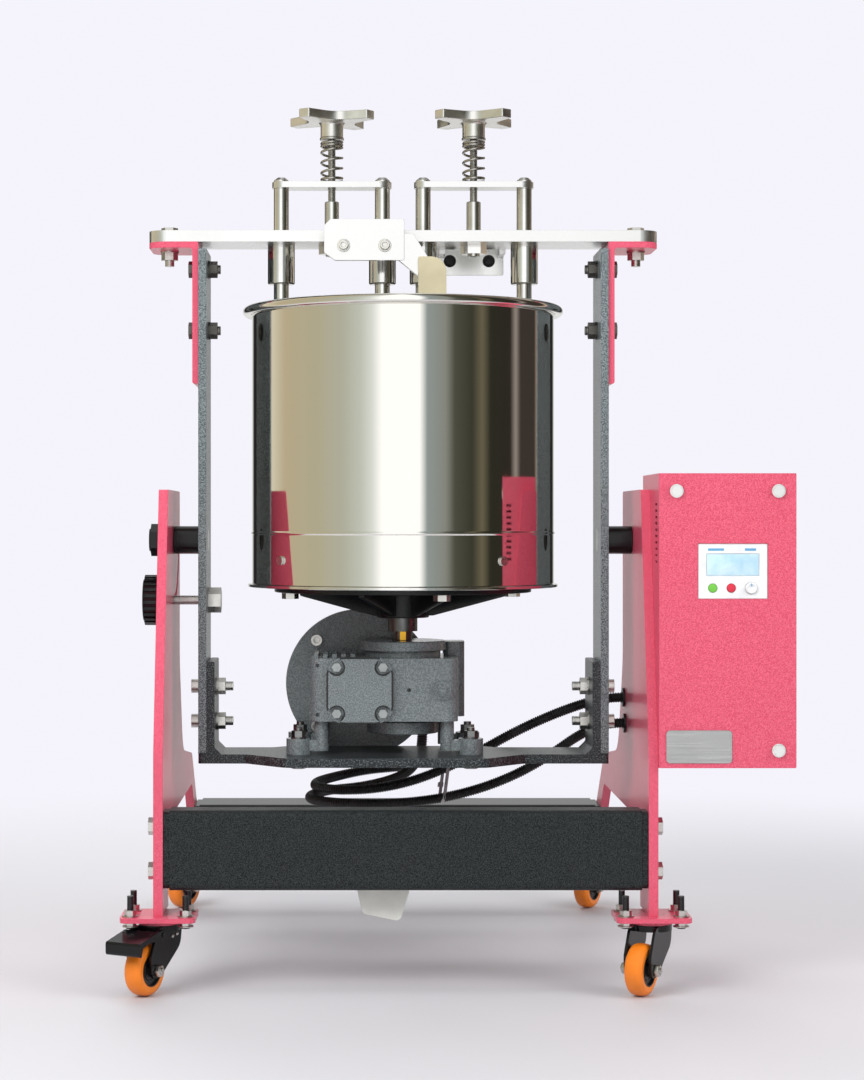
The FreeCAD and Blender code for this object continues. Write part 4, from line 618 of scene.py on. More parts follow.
def springStretch(name, start, turns, rise):
    # a round wire section wound up by the screw modifier
    clearSelection()
    bpy.ops.mesh.primitive_circle_add(vertices=12, radius=springSizes["wire"] / 1000, fill_type="NGON",
                                      rotation=(math.radians(90), 0, 0),
                                      location=(springSizes["coil"] / 1000, 0, start / 1000))
    piece = startPiece(name)
    settle(piece)
    steps = int(28 * turns)
    addModifier(piece, "SCREW", axis="Z", angle=math.radians(360 * turns), screw_offset=rise / 1000,
                steps=steps, render_steps=steps, use_merge_vertices=False)
    return piece


def makeSprings():
    wire = springSizes["wire"] * 2 + 0.1
    low = springSizes["foot"] + wire / 2
    high = springSizes["top"] - wire / 2
    openRise = high - low - wire * (springSizes["closedTurns"] + 1)
    middle = low + wire + openRise / 2
    for side, sign in (("left", -1), ("right", 1)):
        # each half is its own piece, the lower one and the upper one
        foot = springStretch(side + "SpringFoot", low, 1, wire)
        lowerOpen = springStretch(side + "SpringLower", low + wire, springSizes["openTurns"] / 2, openRise / 2)
        lower = joined(side + "SpringLowerHalf", [lowerOpen, foot])
        upperOpen = springStretch(side + "SpringUpper", middle, springSizes["openTurns"] / 2, openRise / 2)
        selectOnly(upperOpen)
        upperOpen.rotation_euler = (0, 0, math.radians(180 * springSizes["openTurns"]))
        settle(upperOpen)
        crown = springStretch(side + "SpringCrown", high - wire * springSizes["closedTurns"],
                              springSizes["closedTurns"], wire * springSizes["closedTurns"])
        upper = joined(side + "SpringUpperHalf", [upperOpen, crown])
        x = sign * springSizes["side"]
        for piece, body, fixed, given in ((lower, side + "_head", low, middle), (upper, side + "_seat", high, middle)):
            settle(piece, spot(x, 0, 0))
            selectOnly(piece)
            bpy.ops.object.mode_set(mode="EDIT")
            bpy.ops.mesh.select_all(action="SELECT")
            bpy.ops.mesh.remove_doubles(threshold=0.0001)
            bpy.ops.mesh.fill_holes(sides=12)
            bpy.ops.mesh.select_all(action="SELECT")
            bpy.ops.mesh.normals_make_consistent(inside=False)
            bpy.ops.object.mode_set(mode="OBJECT")
            smooth(piece, 60)
            piece.data.materials.append(finishes["spring"])
            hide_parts(side + "_spring")
            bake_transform(piece)


starSizes = {"hub": 15.0, "hubFoot": 1098.5, "seat": 1118.0, "thick": 11.5, "arms": 4, "reach": 63.5, "armTurn": 7.4,
             "waist": 27.0, "armCorner": 2.5, "waistCorner": 26.0, "screw": 5.0, "screwFoot": 979.5}


def makeStar():
    # a flat star with four squared arms and hollow sides, on a turned hub
    size = starSizes
    corners = []
    for number in range(size["arms"]):
        middle = 360 / size["arms"] * number
        for turn, reach, corner in ((middle - size["armTurn"], size["reach"], size["armCorner"]),
                                    (middle + size["armTurn"], size["reach"], size["armCorner"]),
                                    (middle + 180 / size["arms"], size["waist"], size["waistCorner"])):
            turn = math.radians(turn)
            corners.append((reach * math.cos(turn), reach * math.sin(turn), corner))
    star = cutPlate("starHandle", roundedLoop(corners, 10), size["thick"])
    settle(star, (0, 0, size["seat"] / 1000))
    roundEdges(star, 0.0011, 3, 40)
    hub = turned("starHub", [(11, size["hubFoot"]), (size["hub"] - 0.6, size["hubFoot"]), (size["hub"], size["hubFoot"] + 0.6),
                             (size["hub"], size["seat"] - 4), (size["hub"] + 1, size["seat"] - 1.5),
                             (size["hub"] + 4, size["seat"] + 1.0)], 64)
    star = joined("starHandle", [star, hub])
    smooth(star, 30)
    return star


def threadRows(radius, low, high, pitch, depth):
    # the ridges of a screw thread as rows for a turned piece
    rows = [(radius - depth, low)]
    count = int((high - low) / pitch)
    for number in range(count):
        foot = low + number * pitch
        rows += [(radius, foot + pitch * 0.45), (radius, foot + pitch * 0.55), (radius - depth, foot + pitch)]
    rows.append((radius - depth - 0.8, high + 0.6))
    return rows


def makeHandles():
    star = makeStar()
    screw = turned("screwPattern", threadRows(starSizes["screw"], starSizes["screwFoot"], starSizes["hubFoot"] + 1, 1.5, 0.45), 24)
    for side, sign, turn in (("left", -1, 55), ("right", 1, 41)):
        handle = copyOf(star, side + "Star")
        handle.rotation_euler = (0, 0, math.radians(turn))
        settle(handle, spot(sign * 94, 0, 0))
        handle.data.materials.append(finishes["nickel"])
        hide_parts(side + "_handwheel")
        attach(handle, side + "_wheel")
        thread = copyOf(screw, side + "PressureScrew")
        settle(thread, spot(sign * 94, 0, 0))
        smooth(thread, 20)
        thread.data.materials.append(finishes["zinc"])
        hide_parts(side + "_handwheel")
        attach(thread, side + "_wheel")
    for pattern in (star, screw):
        bpy.data.objects.remove(pattern)


def makeThread(name, radius, start, way, length, pitch):
    rows = threadRows(radius, 0, length - 0.8, pitch, radius * 0.07)
    thread = turned(name, rows, 20)
    settle(thread, start, way)
    return thread


def makeThreads():
    yokeThreads = []
    plateInner, armInner, armOuter = 303.0, 257.5, 268.0
    yokeThreads.append(makeThread("lockThread", 6.15, spot(-armOuter - 0.3, 0, 486), (-1, 0, 0), 37, 1.75))
    for side in (-1, 1):
        for z in (326, 372):
            # past the nut inside the upstand
            yokeThreads.append(makeThread("armThread", 6.15, spot(side * (armInner - 10.8 - 12), 0, z), (-side, 0, 0), 10, 1.75))
        for z in (843, 924):
            yokeThreads.append(makeThread("bracketThread", 6.15, spot(side * (armInner - 12), 0, z), (-side, 0, 0), 4, 1.75))
        yokeThreads.append(makeThread("barThread", 6.15, spot(side * 309, 0, 936), (0, 0, -1), 8, 1.75))
    threads = joined("yokeThreads", yokeThreads)
    smooth(threads, 20)
    threads.data.materials.append(finishes["zinc"])
    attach(threads, "yoke")
    footThreads = []
    for side in (-1, 1):
        for y in (-165, 515):
            for dx in (-34.5, 34.5):
                for dy in (-22.5, 22.5):
                    at = spot(side * 309 + dx, y + dy, 97 + 8)
                    footThreads.append(makeThread("footThread", 4.15, at, (0, 0, 1), 18, 1.25))
    threads = joined("footThreads", footThreads)
    smooth(threads, 20)
    threads.data.materials.append(finishes["blackSteel"])
    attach(threads, "frame")


knobSizes = {"radius": 33.4, "thick": 25.8, "ribs": 24, "face": -315.4, "height": 486.0}


def makeKnob():
    size = knobSizes
    clearSelection()
    bpy.ops.mesh.primitive_cylinder_add(vertices=size["ribs"] * 4, radius=size["radius"] / 1000, depth=size["thick"] / 1000,
                                        location=(0, 0, size["thick"] / 2000))
    knob = startPiece("lockKnobGrip")
    settle(knob)
    bpy.ops.object.mode_set(mode="EDIT")
    # every second pair of side faces sinks to leave ribs for the fingers
    def between(centre, normal):
        turn = math.degrees(math.atan2(normal.y, normal.x)) % (360 / size["ribs"])
        return abs(normal.z) < 0.5 and turn < 180 / size["ribs"]
    pickFaces(between)
    bpy.ops.mesh.extrude_region_move(TRANSFORM_OT_translate={"value": (0, 0, 0)})
    bpy.ops.transform.resize(value=(0.93, 0.93, 1.0), center_override=(0, 0, 0))
    pickFaces(lambda centre, normal: normal.z > 0.9)
    bpy.ops.mesh.inset(thickness=0.006)
    bpy.ops.mesh.extrude_region_move(TRANSFORM_OT_translate={"value": (0, 0, 0.002)})
    bpy.ops.mesh.inset(thickness=0.008)
    bpy.ops.mesh.extrude_region_move(TRANSFORM_OT_translate={"value": (0, 0, -0.0015)})
    bpy.ops.object.mode_set(mode="OBJECT")
    roundEdges(knob, 0.0009, 2, 40)
    settle(knob, spot(size["face"], 0, size["height"]), (-1, 0, 0))
    smooth(knob, 40)
    knob.data.materials.append(finishes["glossBlack"])
    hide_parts("lock_knob")
    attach(knob, "lock_knob")


casterSizes = {"wheel": 32.4, "width": 24.0, "trail": 33.0, "heading": 241.0, "race": 91.0, "x": 309.0, "front": -165.0, "rear": 515.0}


def casterSpot(side, y, along, across, height):
    # a point on a caster: along its trail, across it, and up from the floor
    heading = math.radians(casterSizes["heading"])
    x = side * casterSizes["x"] + along * math.cos(heading) - across * math.sin(heading)
    return spot(x, y + along * math.sin(heading) + across * math.cos(heading), height)


def makeTyre():
    size = casterSizes
    outer, half = size["wheel"], size["width"] / 2
    rings = [(19.5, -half + 6), (20.5, -half + 6), (20.5, -half + 0.6), (26.5, -half + 0.3)]
    for step in range(0, 13):
        # the tread's crown, rounded at its shoulders
        share = -1 + step / 6
        height = share * (half - 0.2)
        drop = 1.6 * share ** 2 + 4.2 * abs(share) ** 7
        rings.append((outer - drop, height))
    rings += [(26.5, half - 0.3), (20.5, half - 0.6), (20.5, half - 6), (19.5, half - 6)]
    tyre = turned("tyrePattern", rings, 96)
    smooth(tyre, 40)
    return tyre


def makeCore():
    half = casterSizes["width"] / 2
    rings = [(5.2, -half - 1.8), (8.5, -half - 1.8), (9.0, -half - 1.2), (9.0, -half + 2.2), (11.5, -half + 3.0),
             (12.2, -half + 2.2), (13.4, -half + 2.2), (14.0, -half + 3.4), (18.0, -half + 3.4), (19.2, -half + 0.4),
             (20.6, -half + 0.2), (20.6, half - 0.2), (19.2, half - 0.4), (18.0, half - 3.4), (14.0, half - 3.4),
             (13.4, half - 2.2), (12.2, half - 2.2), (11.5, half - 3.0), (9.0, half - 2.2), (9.0, half + 1.2),
             (8.5, half + 1.8), (5.2, half + 1.8)]
    core = turned("corePattern", rings, 72)
    smooth(core, 30)
    return core


def makeCasterWheels():
    tyre, core = makeTyre(), makeCore()
    heading = math.radians(casterSizes["heading"])
    axle = (-math.sin(heading), math.cos(heading), 0)
    for place, side, y in (("front_left", -1, casterSizes["front"]), ("front_right", 1, casterSizes["front"]),
                           ("rear_left", -1, casterSizes["rear"]), ("rear_right", 1, casterSizes["rear"])):
        at = casterSpot(side, y, casterSizes["trail"], 0, 32.5)
        for pattern, word, key, slotName in ((tyre, "Tyre", "orange", "orange_tyre"), (core, "Core", "blackPlastic", "gloss_black")):
            piece = copyOf(pattern, place.replace("_", "") + word)
            settle(piece, at, axle)
            piece.data.materials.append(finishes[key])
            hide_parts(place + "_wheel")
            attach(piece, place + "_wheel")
    for pattern in (tyre, core):
        bpy.data.objects.remove(pattern)


nutSizes = {"across": 13.4, "face": 18.5, "thick": 6.2, "tip": 3.9}


def makeAxleNuts():
    # a plated nut at each end of every wheel's axle, over the end of its bolt
    pattern = hexNut("axleNut", nutSizes["across"], nutSizes["thick"])
    tip = turned("axleTip", [(nutSizes["tip"], 0), (nutSizes["tip"], nutSizes["thick"] + 1.6), (nutSizes["tip"] - 0.8, nutSizes["thick"] + 2.2)], 24)
    pattern = joined("axleNut", [pattern, tip])
    heading = math.radians(casterSizes["heading"])
    for place, side, y in (("front_left", -1, casterSizes["front"]), ("front_right", 1, casterSizes["front"]),
                           ("rear_left", -1, casterSizes["rear"]), ("rear_right", 1, casterSizes["rear"])):
        for sign in (-1, 1):
            nut = copyOf(pattern, place.replace("_", "") + ("NutIn" if sign < 0 else "NutOut"))
            way = (-math.sin(heading) * sign, math.cos(heading) * sign, 0)
            settle(nut, casterSpot(side, y, casterSizes["trail"], nutSizes["face"] * sign, 32.5), way)
            smooth(nut, 30)
            nut.data.materials.append(finishes["zinc"])
            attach(nut, place + "_fork")
    bpy.data.objects.remove(pattern)


keypadSizes = {"left": 364.0, "low": 494.0, "width": 86.0, "height": 68.0, "face": -194.0}


def flatPlate(name, left, right, low, high, back, front, corner):
    # a thin rounded plate that faces the front, between two Y values
    clearSelection()
    centre = spot((left + right) / 2, (back + front) / 2, (low + high) / 2)
    bpy.ops.mesh.primitive_cube_add(size=1, location=centre)
    plate = startPiece(name)
    plate.scale = ((right - left) / 1000, abs(back - front) / 1000, (high - low) / 1000)
    settle(plate)
    bpy.ops.object.mode_set(mode="EDIT")
    bpy.ops.mesh.select_mode(type="EDGE")
    bpy.ops.mesh.select_all(action="DESELECT")
    form = bmesh.from_edit_mesh(plate.data)
    for edge in form.edges:
        along = edge.verts[0].co - edge.verts[1].co
        if abs(along.y) > 0.9 * along.length:
            edge.select_set(True)
    bmesh.update_edit_mesh(plate.data)
    bpy.ops.mesh.bevel(offset=corner / 1000, segments=6, affect="EDGES")
    bpy.ops.object.mode_set(mode="OBJECT")
    return plate


def makeKeypadFace():
    size = keypadSizes
    left, low, face = size["left"], size["low"], size["face"]
    screen = flatPlate("keypadScreen", left + 10.6, left + 75.4, low + 28.6, low + 55.4, face + 1.1, face + 0.2, 1.2)
    roundEdges(screen, 0.0002)
    smooth(screen)
    screen.data.materials.append(screenFinish())
    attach(screen, "frame")
    marks = []
    for x, width, mark in ((left + 12, 20, 0), (left + 58, 14, 1)):
        strip = flatPlate("keypadStrip" + str(mark), x, x + width, low + 59.5, low + 62.5, face + 0.1, face - 0.12, 0.4)
        marks.append(strip)
    strips = joined("keypadStrips", marks)
    strips.data.materials.append(finishes["blueMark"])
    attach(strips, "frame")
    for body, x, key in (("run_button", left + 18, "green"), ("stop_button", left + 41, "redKey")):
        clearSelection()
        button = turned(body + "Cap", [(5.2, 0), (5.5, 0.3), (5.5, 2.4), (5.0, 3.2), (3.8, 3.55), (1.2, 3.6)], 40)
        settle(button, spot(x, -191.3, low + 13), (0, -1, 0))
        smooth(button, 40)
        button.data.materials.append(finishes[key])
        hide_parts(body)
        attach(button, body)
    dial = turned("speedDialCap", [(7.2, 0), (7.5, 0.3), (7.5, 4.0), (6.6, 5.6), (5.6, 6.0), (4.6, 5.2), (1.0, 5.0)], 60)
    settle(dial, spot(left + 66, -191.5, low + 13), (0, -1, 0))
    smooth(dial, 40)
    mark = flatPlate("dialMark", left + 65.5, left + 66.5, low + 15.0, low + 19.0, -196.5, -197.6, 0.2)
    mark.data.materials.append(finishes["blueMark"])
    dial.data.materials.append(finishes["white"])
    for piece in (dial, mark):
        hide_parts("speed_dial")
        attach(piece, "speed_dial")


def screenFinish():
    # a pale blue display, patchy between two blues
    material = startFinish("keypadScreen", (0.42, 0.66, 0.80), roughness=0.12, Coat_Weight=0.6, Coat_Roughness=0.05)
    vector = coordinates(material)
    soft = noise(material, vector, 60.0, 2.0)
    twoColours(material, spread(material, soft, 0.3, 0.7, 0.0, 1.0), (0.42, 0.66, 0.80), (0.62, 0.80, 0.88))
    return material


conduitSizes = {
    "radius": 6.9, "groove": 5.9, "pitch": 3.3, "sides": 18,
    "low": [(358, -16, 317), (358.5, 14, 317), (355, 41, 317), (341, 58.6, 317), (321, 68.4, 317), (277, 70.8, 317),
            (242, 86, 300), (206, 100, 272), (164, 107, 246), (114, 110, 225), (60, 110, 211), (4, 108, 204),
            (-46, 109, 203), (-92, 118, 203), (-124, 146, 204), (-128, 186, 206), (-98, 218, 210), (-52, 224, 214),
            (-14, 208, 224), (14, 180, 240), (28, 155, 266), (31, 149, 290), (31, 149, 316.7)],
    "high": [(358, -16, 351), (358.5, 26, 351), (355, 53.5, 351), (341, 71.1, 351), (321, 80.9, 351), (277, 83.3, 350.5),
             (238, 97, 338), (196, 112, 320), (154, 122, 299), (112, 127, 275), (66, 128, 251), (14, 126, 231),
             (-38, 124, 221), (-86, 130, 219), (-118, 156, 220), (-120, 194, 223), (-92, 224, 228), (-48, 238, 236),
             (-6, 236, 240), (18, 216, 246), (29, 194, 264), (31, 181, 288), (31, 181, 316.7)],
}


def smoothLine(name, route):
    # the route's own smooth line, read back as closely spaced points
    curve = bpy.data.curves.new(name, "CURVE")
    curve.dimensions = "3D"
    spline = curve.splines.new("NURBS")
    spline.points.add(len(route) - 1)
    for point, place in zip(spline.points, route):
        point.co = (*spot(*place), 1)
    spline.order_u = 3
    spline.use_endpoint_u = True
    spline.resolution_u = 24
    item = bpy.data.objects.new(name, curve)
    bpy.context.collection.objects.link(item)
    mesh = bpy.data.meshes.new_from_object(item)
    line = [vertex.co.copy() for vertex in mesh.vertices]
    bpy.data.objects.remove(item)
    bpy.data.meshes.remove(mesh)
    return line


def evenly(line, step):
    # points along the line at an even distance, with the way ahead at each
    found, travelled, wanted = [], 0.0, 0.0
    for first, second in zip(line, line[1:]):
        piece = second - first
        while wanted <= travelled + piece.length:
            found.append((first + piece * ((wanted - travelled) / piece.length), piece.normalized()))
            wanted += step
        travelled += piece.length
    return found, travelled


def makeConduit(name, route):
    size = conduitSizes
    line = smoothLine(name, route)
    rings, length = evenly(line, size["pitch"] / 4000)
    form = bmesh.new()
    side = Vector((0, 0, 1))
    loops = []
    for number, (at, way) in enumerate(rings):
        side = (side - way * side.dot(way)).normalized()
        across = way.cross(side)
        radius = (size["radius"] if number % 4 in (0, 1) else size["groove"]) / 1000
        loop = []
        for corner in range(size["sides"]):
            turn = 2 * math.pi * corner / size["sides"]
            loop.append(form.verts.new(at + side * (radius * math.cos(turn)) + across * (radius * math.sin(turn))))
        loops.append(loop)
    for first, second in zip(loops, loops[1:]):
        for corner in range(size["sides"]):
            ahead = (corner + 1) % size["sides"]
            form.faces.new((first[corner], first[ahead], second[ahead], second[corner]))
    form.faces.new(list(reversed(loops[0])))
    form.faces.new(loops[-1])
    bmesh.ops.recalc_face_normals(form, faces=form.faces)
    mesh = bpy.data.meshes.new(name)
    form.to_mesh(mesh)
    form.free()
    conduit = bpy.data.objects.new(name, mesh)
    bpy.context.collection.objects.link(conduit)
    smooth(conduit, 40)
    conduit.data.materials.append(finishes["conduit"])
    return conduit, line, length


def makeConduits():
    for name in ("low", "high"):
        route = conduitSizes[name]
        conduit, line, length = makeConduit(name + "Conduit", route)
        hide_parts("conduits")
        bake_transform(conduit)


tieSizes = {"centre": (57, 119.5, 231), "reach": 29.5, "half": 9.0, "wide": 4.5, "thick": 1.3}


def makeCableTie():
    # a pale band drawn round both conduits where they run side by side
    size = tieSizes
    outer = roundedLoop([(-size["reach"], -size["half"], 8.6), (size["reach"], -size["half"], 8.6),
                         (size["reach"], size["half"], 8.6), (-size["reach"], size["half"], 8.6)], 8)
    band = cutPlate("cableTie", outer, size["wide"])
    pickedTop = lambda centre, normal: abs(normal.z) > 0.9
    selectOnly(band)
    bpy.ops.object.mode_set(mode="EDIT")
    pickFaces(pickedTop)
    bpy.ops.mesh.delete(type="ONLY_FACE")
    bpy.ops.mesh.select_all(action="SELECT")
    bpy.ops.mesh.normals_make_consistent(inside=False)
    bpy.ops.object.mode_set(mode="OBJECT")
    addModifier(band, "SOLIDIFY", thickness=size["thick"] / 1000, offset=-1)
    lock = flatPlate("tieLock", 0, 7, 0, 6, 0, 6, 1.0)
    settle(lock, -spot(3.5, 3, 3) + Vector((0, -(size["half"] + 1.5) / 1000, size["wide"] / 2000)))
    band = joined("cableTie", [band, lock])
    along = Vector((6, 18, 40)).normalized()
    across = Vector((0.85, 0.3, -0.25))
    across = (across - along * across.dot(along)).normalized()
    side = across.cross(along).normalized()
    turn = Matrix((along, side, across)).transposed().to_4x4()
    band.matrix_world = Matrix.Translation(spot(*size["centre"])) @ turn
    settle(band)
    smooth(band, 30)
    band.data.materials.append(finishes["tie"])
    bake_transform(band)


screwSizes = {"head": 6.2, "high": 10.2, "socket": 3.3, "deep": 0.2, "ring": 8.4, "z": 945.0, "front": -104.0, "rear": 80.0}


def makeScraperScrews():
    # socket-head screws on their washers, plated in front and black on the rear plate
    size = screwSizes
    head = turned("socketHead", [(5.0, 0), (size["head"], 0), (size["head"], size["high"] - 0.6), (size["head"] - 0.6, size["high"]),
                                 (size["socket"] + 0.4, size["high"]), (size["socket"], size["high"] - 0.3),
                                 (size["socket"], size["deep"] + 8), (0.6, size["deep"] + 8)], 40)
    ring = turned("screwRing", [(5.0, 0), (size["ring"], 0), (size["ring"], 1.0), (size["ring"] - 0.4, 1.4), (5.5, 1.4)], 48)
    pattern = joined("socketHead", [head, ring])
    for word, key, places in (("front", "nickel", ((-78, size["front"] + 8), (-25, size["front"] + 8))),
                              ("rear", "blackSteel", ((66, size["rear"] + 8), (119, size["rear"] + 8)))):
        heads = []
        for x, y in places:
            heads.append(settle(copyOf(pattern, word + "Screw"), spot(x, y, size["z"]), (0, -1, 0)))
        screws = joined(word + "ScraperScrews", heads)
        smooth(screws, 35)
        screws.data.materials.append(finishes[key])
        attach(screws, "yoke")
    bpy.data.objects.remove(pattern)


plugSizes = {"at": (50, -73.9, 371), "flat": 14.4, "thick": 8.4, "socket": 3.2}


def makeOilPlug():
    # the gearbox plug: a six-sided head with a sunk socket
    size = plugSizes
    head = hexNut("plugHead", size["flat"], size["thick"] * 0.6)
    crown = turned("plugCrown", [(5.6, 0), (5.6, 5.4), (5.0, 6.0), (size["socket"] + 0.4, 6.0), (size["socket"], 5.7),
                                 (size["socket"], 1.2), (0.6, 1.2)], 36)
    plug = joined("oilPlug", [head, crown])
    settle(plug, spot(size["at"][0], -71.0, size["at"][2]), (0, -1, 0))
    smooth(plug, 30)
    plug.data.materials.append(finishes["castPaint"])
    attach(plug, "yoke")
    # a black disc down in the sunk socket: painted shade in the socket's hollow
    socketShade = turned("plugSocketShade", [(size["socket"] - 0.1, 0), (size["socket"] - 0.1, 0.4), (1.0, 0.4)], 24)
    settle(socketShade, spot(size["at"][0], -74.6, size["at"][2]), (0, -1, 0))
    socketShade.data.materials.append(finishes["blackPlastic"])
    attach(socketShade, "yoke")


washerSizes = {"radius": 10.0, "thick": 1.5, "head": 6.2, "top": 97.0, "under": 86.0, "lowest": 82.5}


def makeFootWashers():
    # wide plated washers above and under each foot plate, and the low bolt heads beneath
    size = washerSizes
    washers, heads = [], []
    disc = turned("footWasher", [(4.6, 0), (size["radius"], 0), (size["radius"], size["thick"] - 0.3),
                                 (size["radius"] - 0.3, size["thick"]), (4.6, size["thick"])], 32)
    head = turned("footBoltHead", [(1.5, size["lowest"]), (size["head"] - 0.8, size["lowest"]), (size["head"], size["lowest"] + 0.8),
                                   (size["head"], size["under"] - 1.2)], 24)
    for side in (-1, 1):
        for y in (casterSizes["front"], casterSizes["rear"]):
            for dx in (-34.5, 34.5):
                for dy in (-22.5, 22.5):
                    x = side * casterSizes["x"] + dx
                    washers.append(settle(copyOf(disc, "washer"), spot(x, y + dy, size["top"])))
                    washers.append(settle(copyOf(disc, "washer"), spot(x, y + dy, size["under"] - size["thick"])))
                    heads.append(settle(copyOf(head, "head"), spot(x, y + dy, 0)))
    for name, pieces, key in (("footWashers", washers, "zinc"), ("footBoltHeads", heads, "blackSteel")):
        piece = joined(name, pieces)
        smooth(piece, 35)
        piece.data.materials.append(finishes[key])
        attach(piece, "frame")
    for pattern in (disc, head):
        bpy.data.objects.remove(pattern)


rivetSizes = {"radius": 2.4, "high": 1.5, "places": ((-12, 72), (-2, 70.5)), "face": 18.5}


def makeForkRivets():
    # two bright rivets on each cheek of the forks with a brake
    size = rivetSizes
    dome = turned("rivet", [(size["radius"], 0), (size["radius"], 0.5), (size["radius"] * 0.8, size["high"] * 0.75),
                            (size["radius"] * 0.4, size["high"])], 20)
    heading = math.radians(casterSizes["heading"])
    rivets = []
    for across in (-size["face"], size["face"]):
        way = (-math.sin(heading) * across, math.cos(heading) * across, 0)
        for along, height in size["places"]:
            at = casterSpot(-1, casterSizes["front"], along, across, height)
            rivets.append(settle(copyOf(dome, "rivetCopy"), at, way))
    bpy.data.objects.remove(dome)
    piece = joined("forkRivets", rivets)
    smooth(piece, 60)
    piece.data.materials.append(finishes["zinc"])
    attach(piece, "front_left_fork")


coverShadowSizes = {"x": -57, "y": -72.0, "z": 371, "half": 43.4, "corner": 24.4, "notchAt": 30, "notch": 8.9, "thick": 0.5, "steps": 180}


def makeCoverShadowBand():
    # a dark band painted round the scalloped gearbox cover: the painted shadow of the step round its dome
    size = coverShadowSizes
    inner = size["half"] - size["corner"]
    points = []
    for n in range(size["steps"]):
        angle = 2 * math.pi * n / size["steps"]
        c, s = abs(math.cos(angle)), abs(math.sin(angle))
        reach = size["half"] / max(c, s)
        if min(c, s) * reach > inner:
            along = inner * (c + s)
            reach = along + math.sqrt(along ** 2 - 2 * inner ** 2 + size["corner"] ** 2)
        along = size["notchAt"] * (c + s)
        inside = along ** 2 - 2 * size["notchAt"] ** 2 + size["notch"] ** 2
        if inside > 0:
            reach = min(reach, along - math.sqrt(inside))
        points.append((math.cos(angle) * reach, math.sin(angle) * reach))
    shadowBand = stood(cutPlate("coverShadowBand", points, size["thick"]), spot(size["x"], size["y"], size["z"]))
    # the black finish here is painted shadow along the cover's step
    shadowBand.data.materials.append(finishes["blackPlastic"])
    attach(shadowBand, "yoke")


for make in (makeDrum, makeDrumFoot, makeSprings, makeHandles, makeThreads, makeKnob, makeCasterWheels, makeAxleNuts,
             makeKeypadFace, makeConduits, makeCableTie, makeScraperScrews, makeOilPlug, makeFootWashers, makeForkRivets,
             makeCoverShadowBand):
    make()
    print(make.__name__[4:], "made")

studio = {
    "backdrop": (0.912, 0.902, 0.972),
    "floorSize": 14.0,
    "floorColour": (0.585, 0.58, 0.60),
    "nearRadius": 0.75,
    "farRadius": 2.1,
    "fill": 0.55,
    "keyPower": 70.0,
    "sidePower": 34.0,
    "topPower": 42.0,
}


def addFloor():
    clearSelection()
    bpy.ops.mesh.primitive_plane_add(size=studio["floorSize"], location=(0, 0, -0.0005))
    floor = startPiece("studioFloor")
    material = bpy.data.materials.new("studioFloor")
    material.use_nodes = True
    shader = shaderOf(material)
    shader.inputs["Base Color"].default_value = (*studio["floorColour"], 1)
    shader.inputs["Roughness"].default_value = 0.6
    glow = addNode(material, "Emission")
    glow.inputs["Color"].default_value = (*studio["backdrop"], 1)
    place = addNode(material, "TexCoord")
    reach = addNode(material, "VectorMath", operation="LENGTH")
    link(material, place.outputs["Object"], reach.inputs[0])
    fade = addNode(material, "MapRange", interpolation_type="SMOOTHSTEP")
    fade.inputs["From Min"].default_value = studio["nearRadius"]
    fade.inputs["From Max"].default_value = studio["farRadius"]
    link(material, reach.outputs["Value"], fade.inputs["Value"])
    rays = addNode(material, "LightPath")
    above = shader.outputs[0]
    for ray, far in (("Is Camera Ray", glow.outputs[0]), ("Is Glossy Ray", addNode(material, "BsdfTransparent").outputs[0])):
        amount = addNode(material, "Math", operation="MULTIPLY")
        link(material, fade.outputs["Result"], amount.inputs[0])
        link(material, rays.outputs[ray], amount.inputs[1])
        mix = addNode(material, "MixShader")
        link(material, amount.outputs[0], mix.inputs[0])
        link(material, above, mix.inputs[1])
        link(material, far, mix.inputs[2])
        above = mix.outputs[0]
    link(material, above, material.node_tree.nodes["Material Output"].inputs["Surface"])
    floor.data.materials.append(material)


def setWorld():
    # the camera sees the backdrop, and polished metal sees the studio's pale and dark walls
    world = bpy.data.worlds.new("studio")
    bpy.context.scene.world = world
    world.use_nodes = True
    tree = world.node_tree
    background = tree.nodes["Background"]

    def node(kind, **values):
        made = tree.nodes.new("ShaderNode" + kind)
        for key, value in values.items():
            setattr(made, key, value)
        return made

    place = node("TexCoord")
    parts = node("SeparateXYZ")
    tree.links.new(place.outputs["Generated"], parts.inputs[0])
    angle = node("Math", operation="ARCTAN2")
    tree.links.new(parts.outputs["X"], angle.inputs[0])
    tree.links.new(parts.outputs["Y"], angle.inputs[1])
    share = node("MapRange")
    share.inputs["From Min"].default_value = -math.pi
    share.inputs["From Max"].default_value = math.pi
    tree.links.new(angle.outputs[0], share.inputs["Value"])
    ramp = node("ValToRGB")
    ramp.color_ramp.elements[0].position = 0.0
    ramp.color_ramp.elements[0].color = (1.3, 1.3, 1.3, 1)
    ramp.color_ramp.elements[1].position = 1.0
    ramp.color_ramp.elements[1].color = (1.3, 1.3, 1.3, 1)
    # turn as a share of the circle, 0 and 1 toward the front, 0.5 toward the rear
    for position, colour in studio["walls"]:
        stop = ramp.color_ramp.elements.new(position)
        stop.color = (*colour, 1)
    tree.links.new(share.outputs["Result"], ramp.inputs["Fac"])
    rays = node("LightPath")
    glossy = node("Mix", data_type="RGBA")
    fill = studio["fill"]
    glossy.inputs[6].default_value = (fill, fill * 0.99, fill * 1.02, 1)
    tree.links.new(rays.outputs["Is Glossy Ray"], glossy.inputs[0])
    tree.links.new(ramp.outputs["Color"], glossy.inputs[7])
    camera = node("Mix", data_type="RGBA")
    camera.inputs[7].default_value = (*studio["backdrop"], 1)
    tree.links.new(rays.outputs["Is Camera Ray"], camera.inputs[0])
    tree.links.new(glossy.outputs[2], camera.inputs[6])
    tree.links.new(camera.outputs[2], background.inputs["Color"])


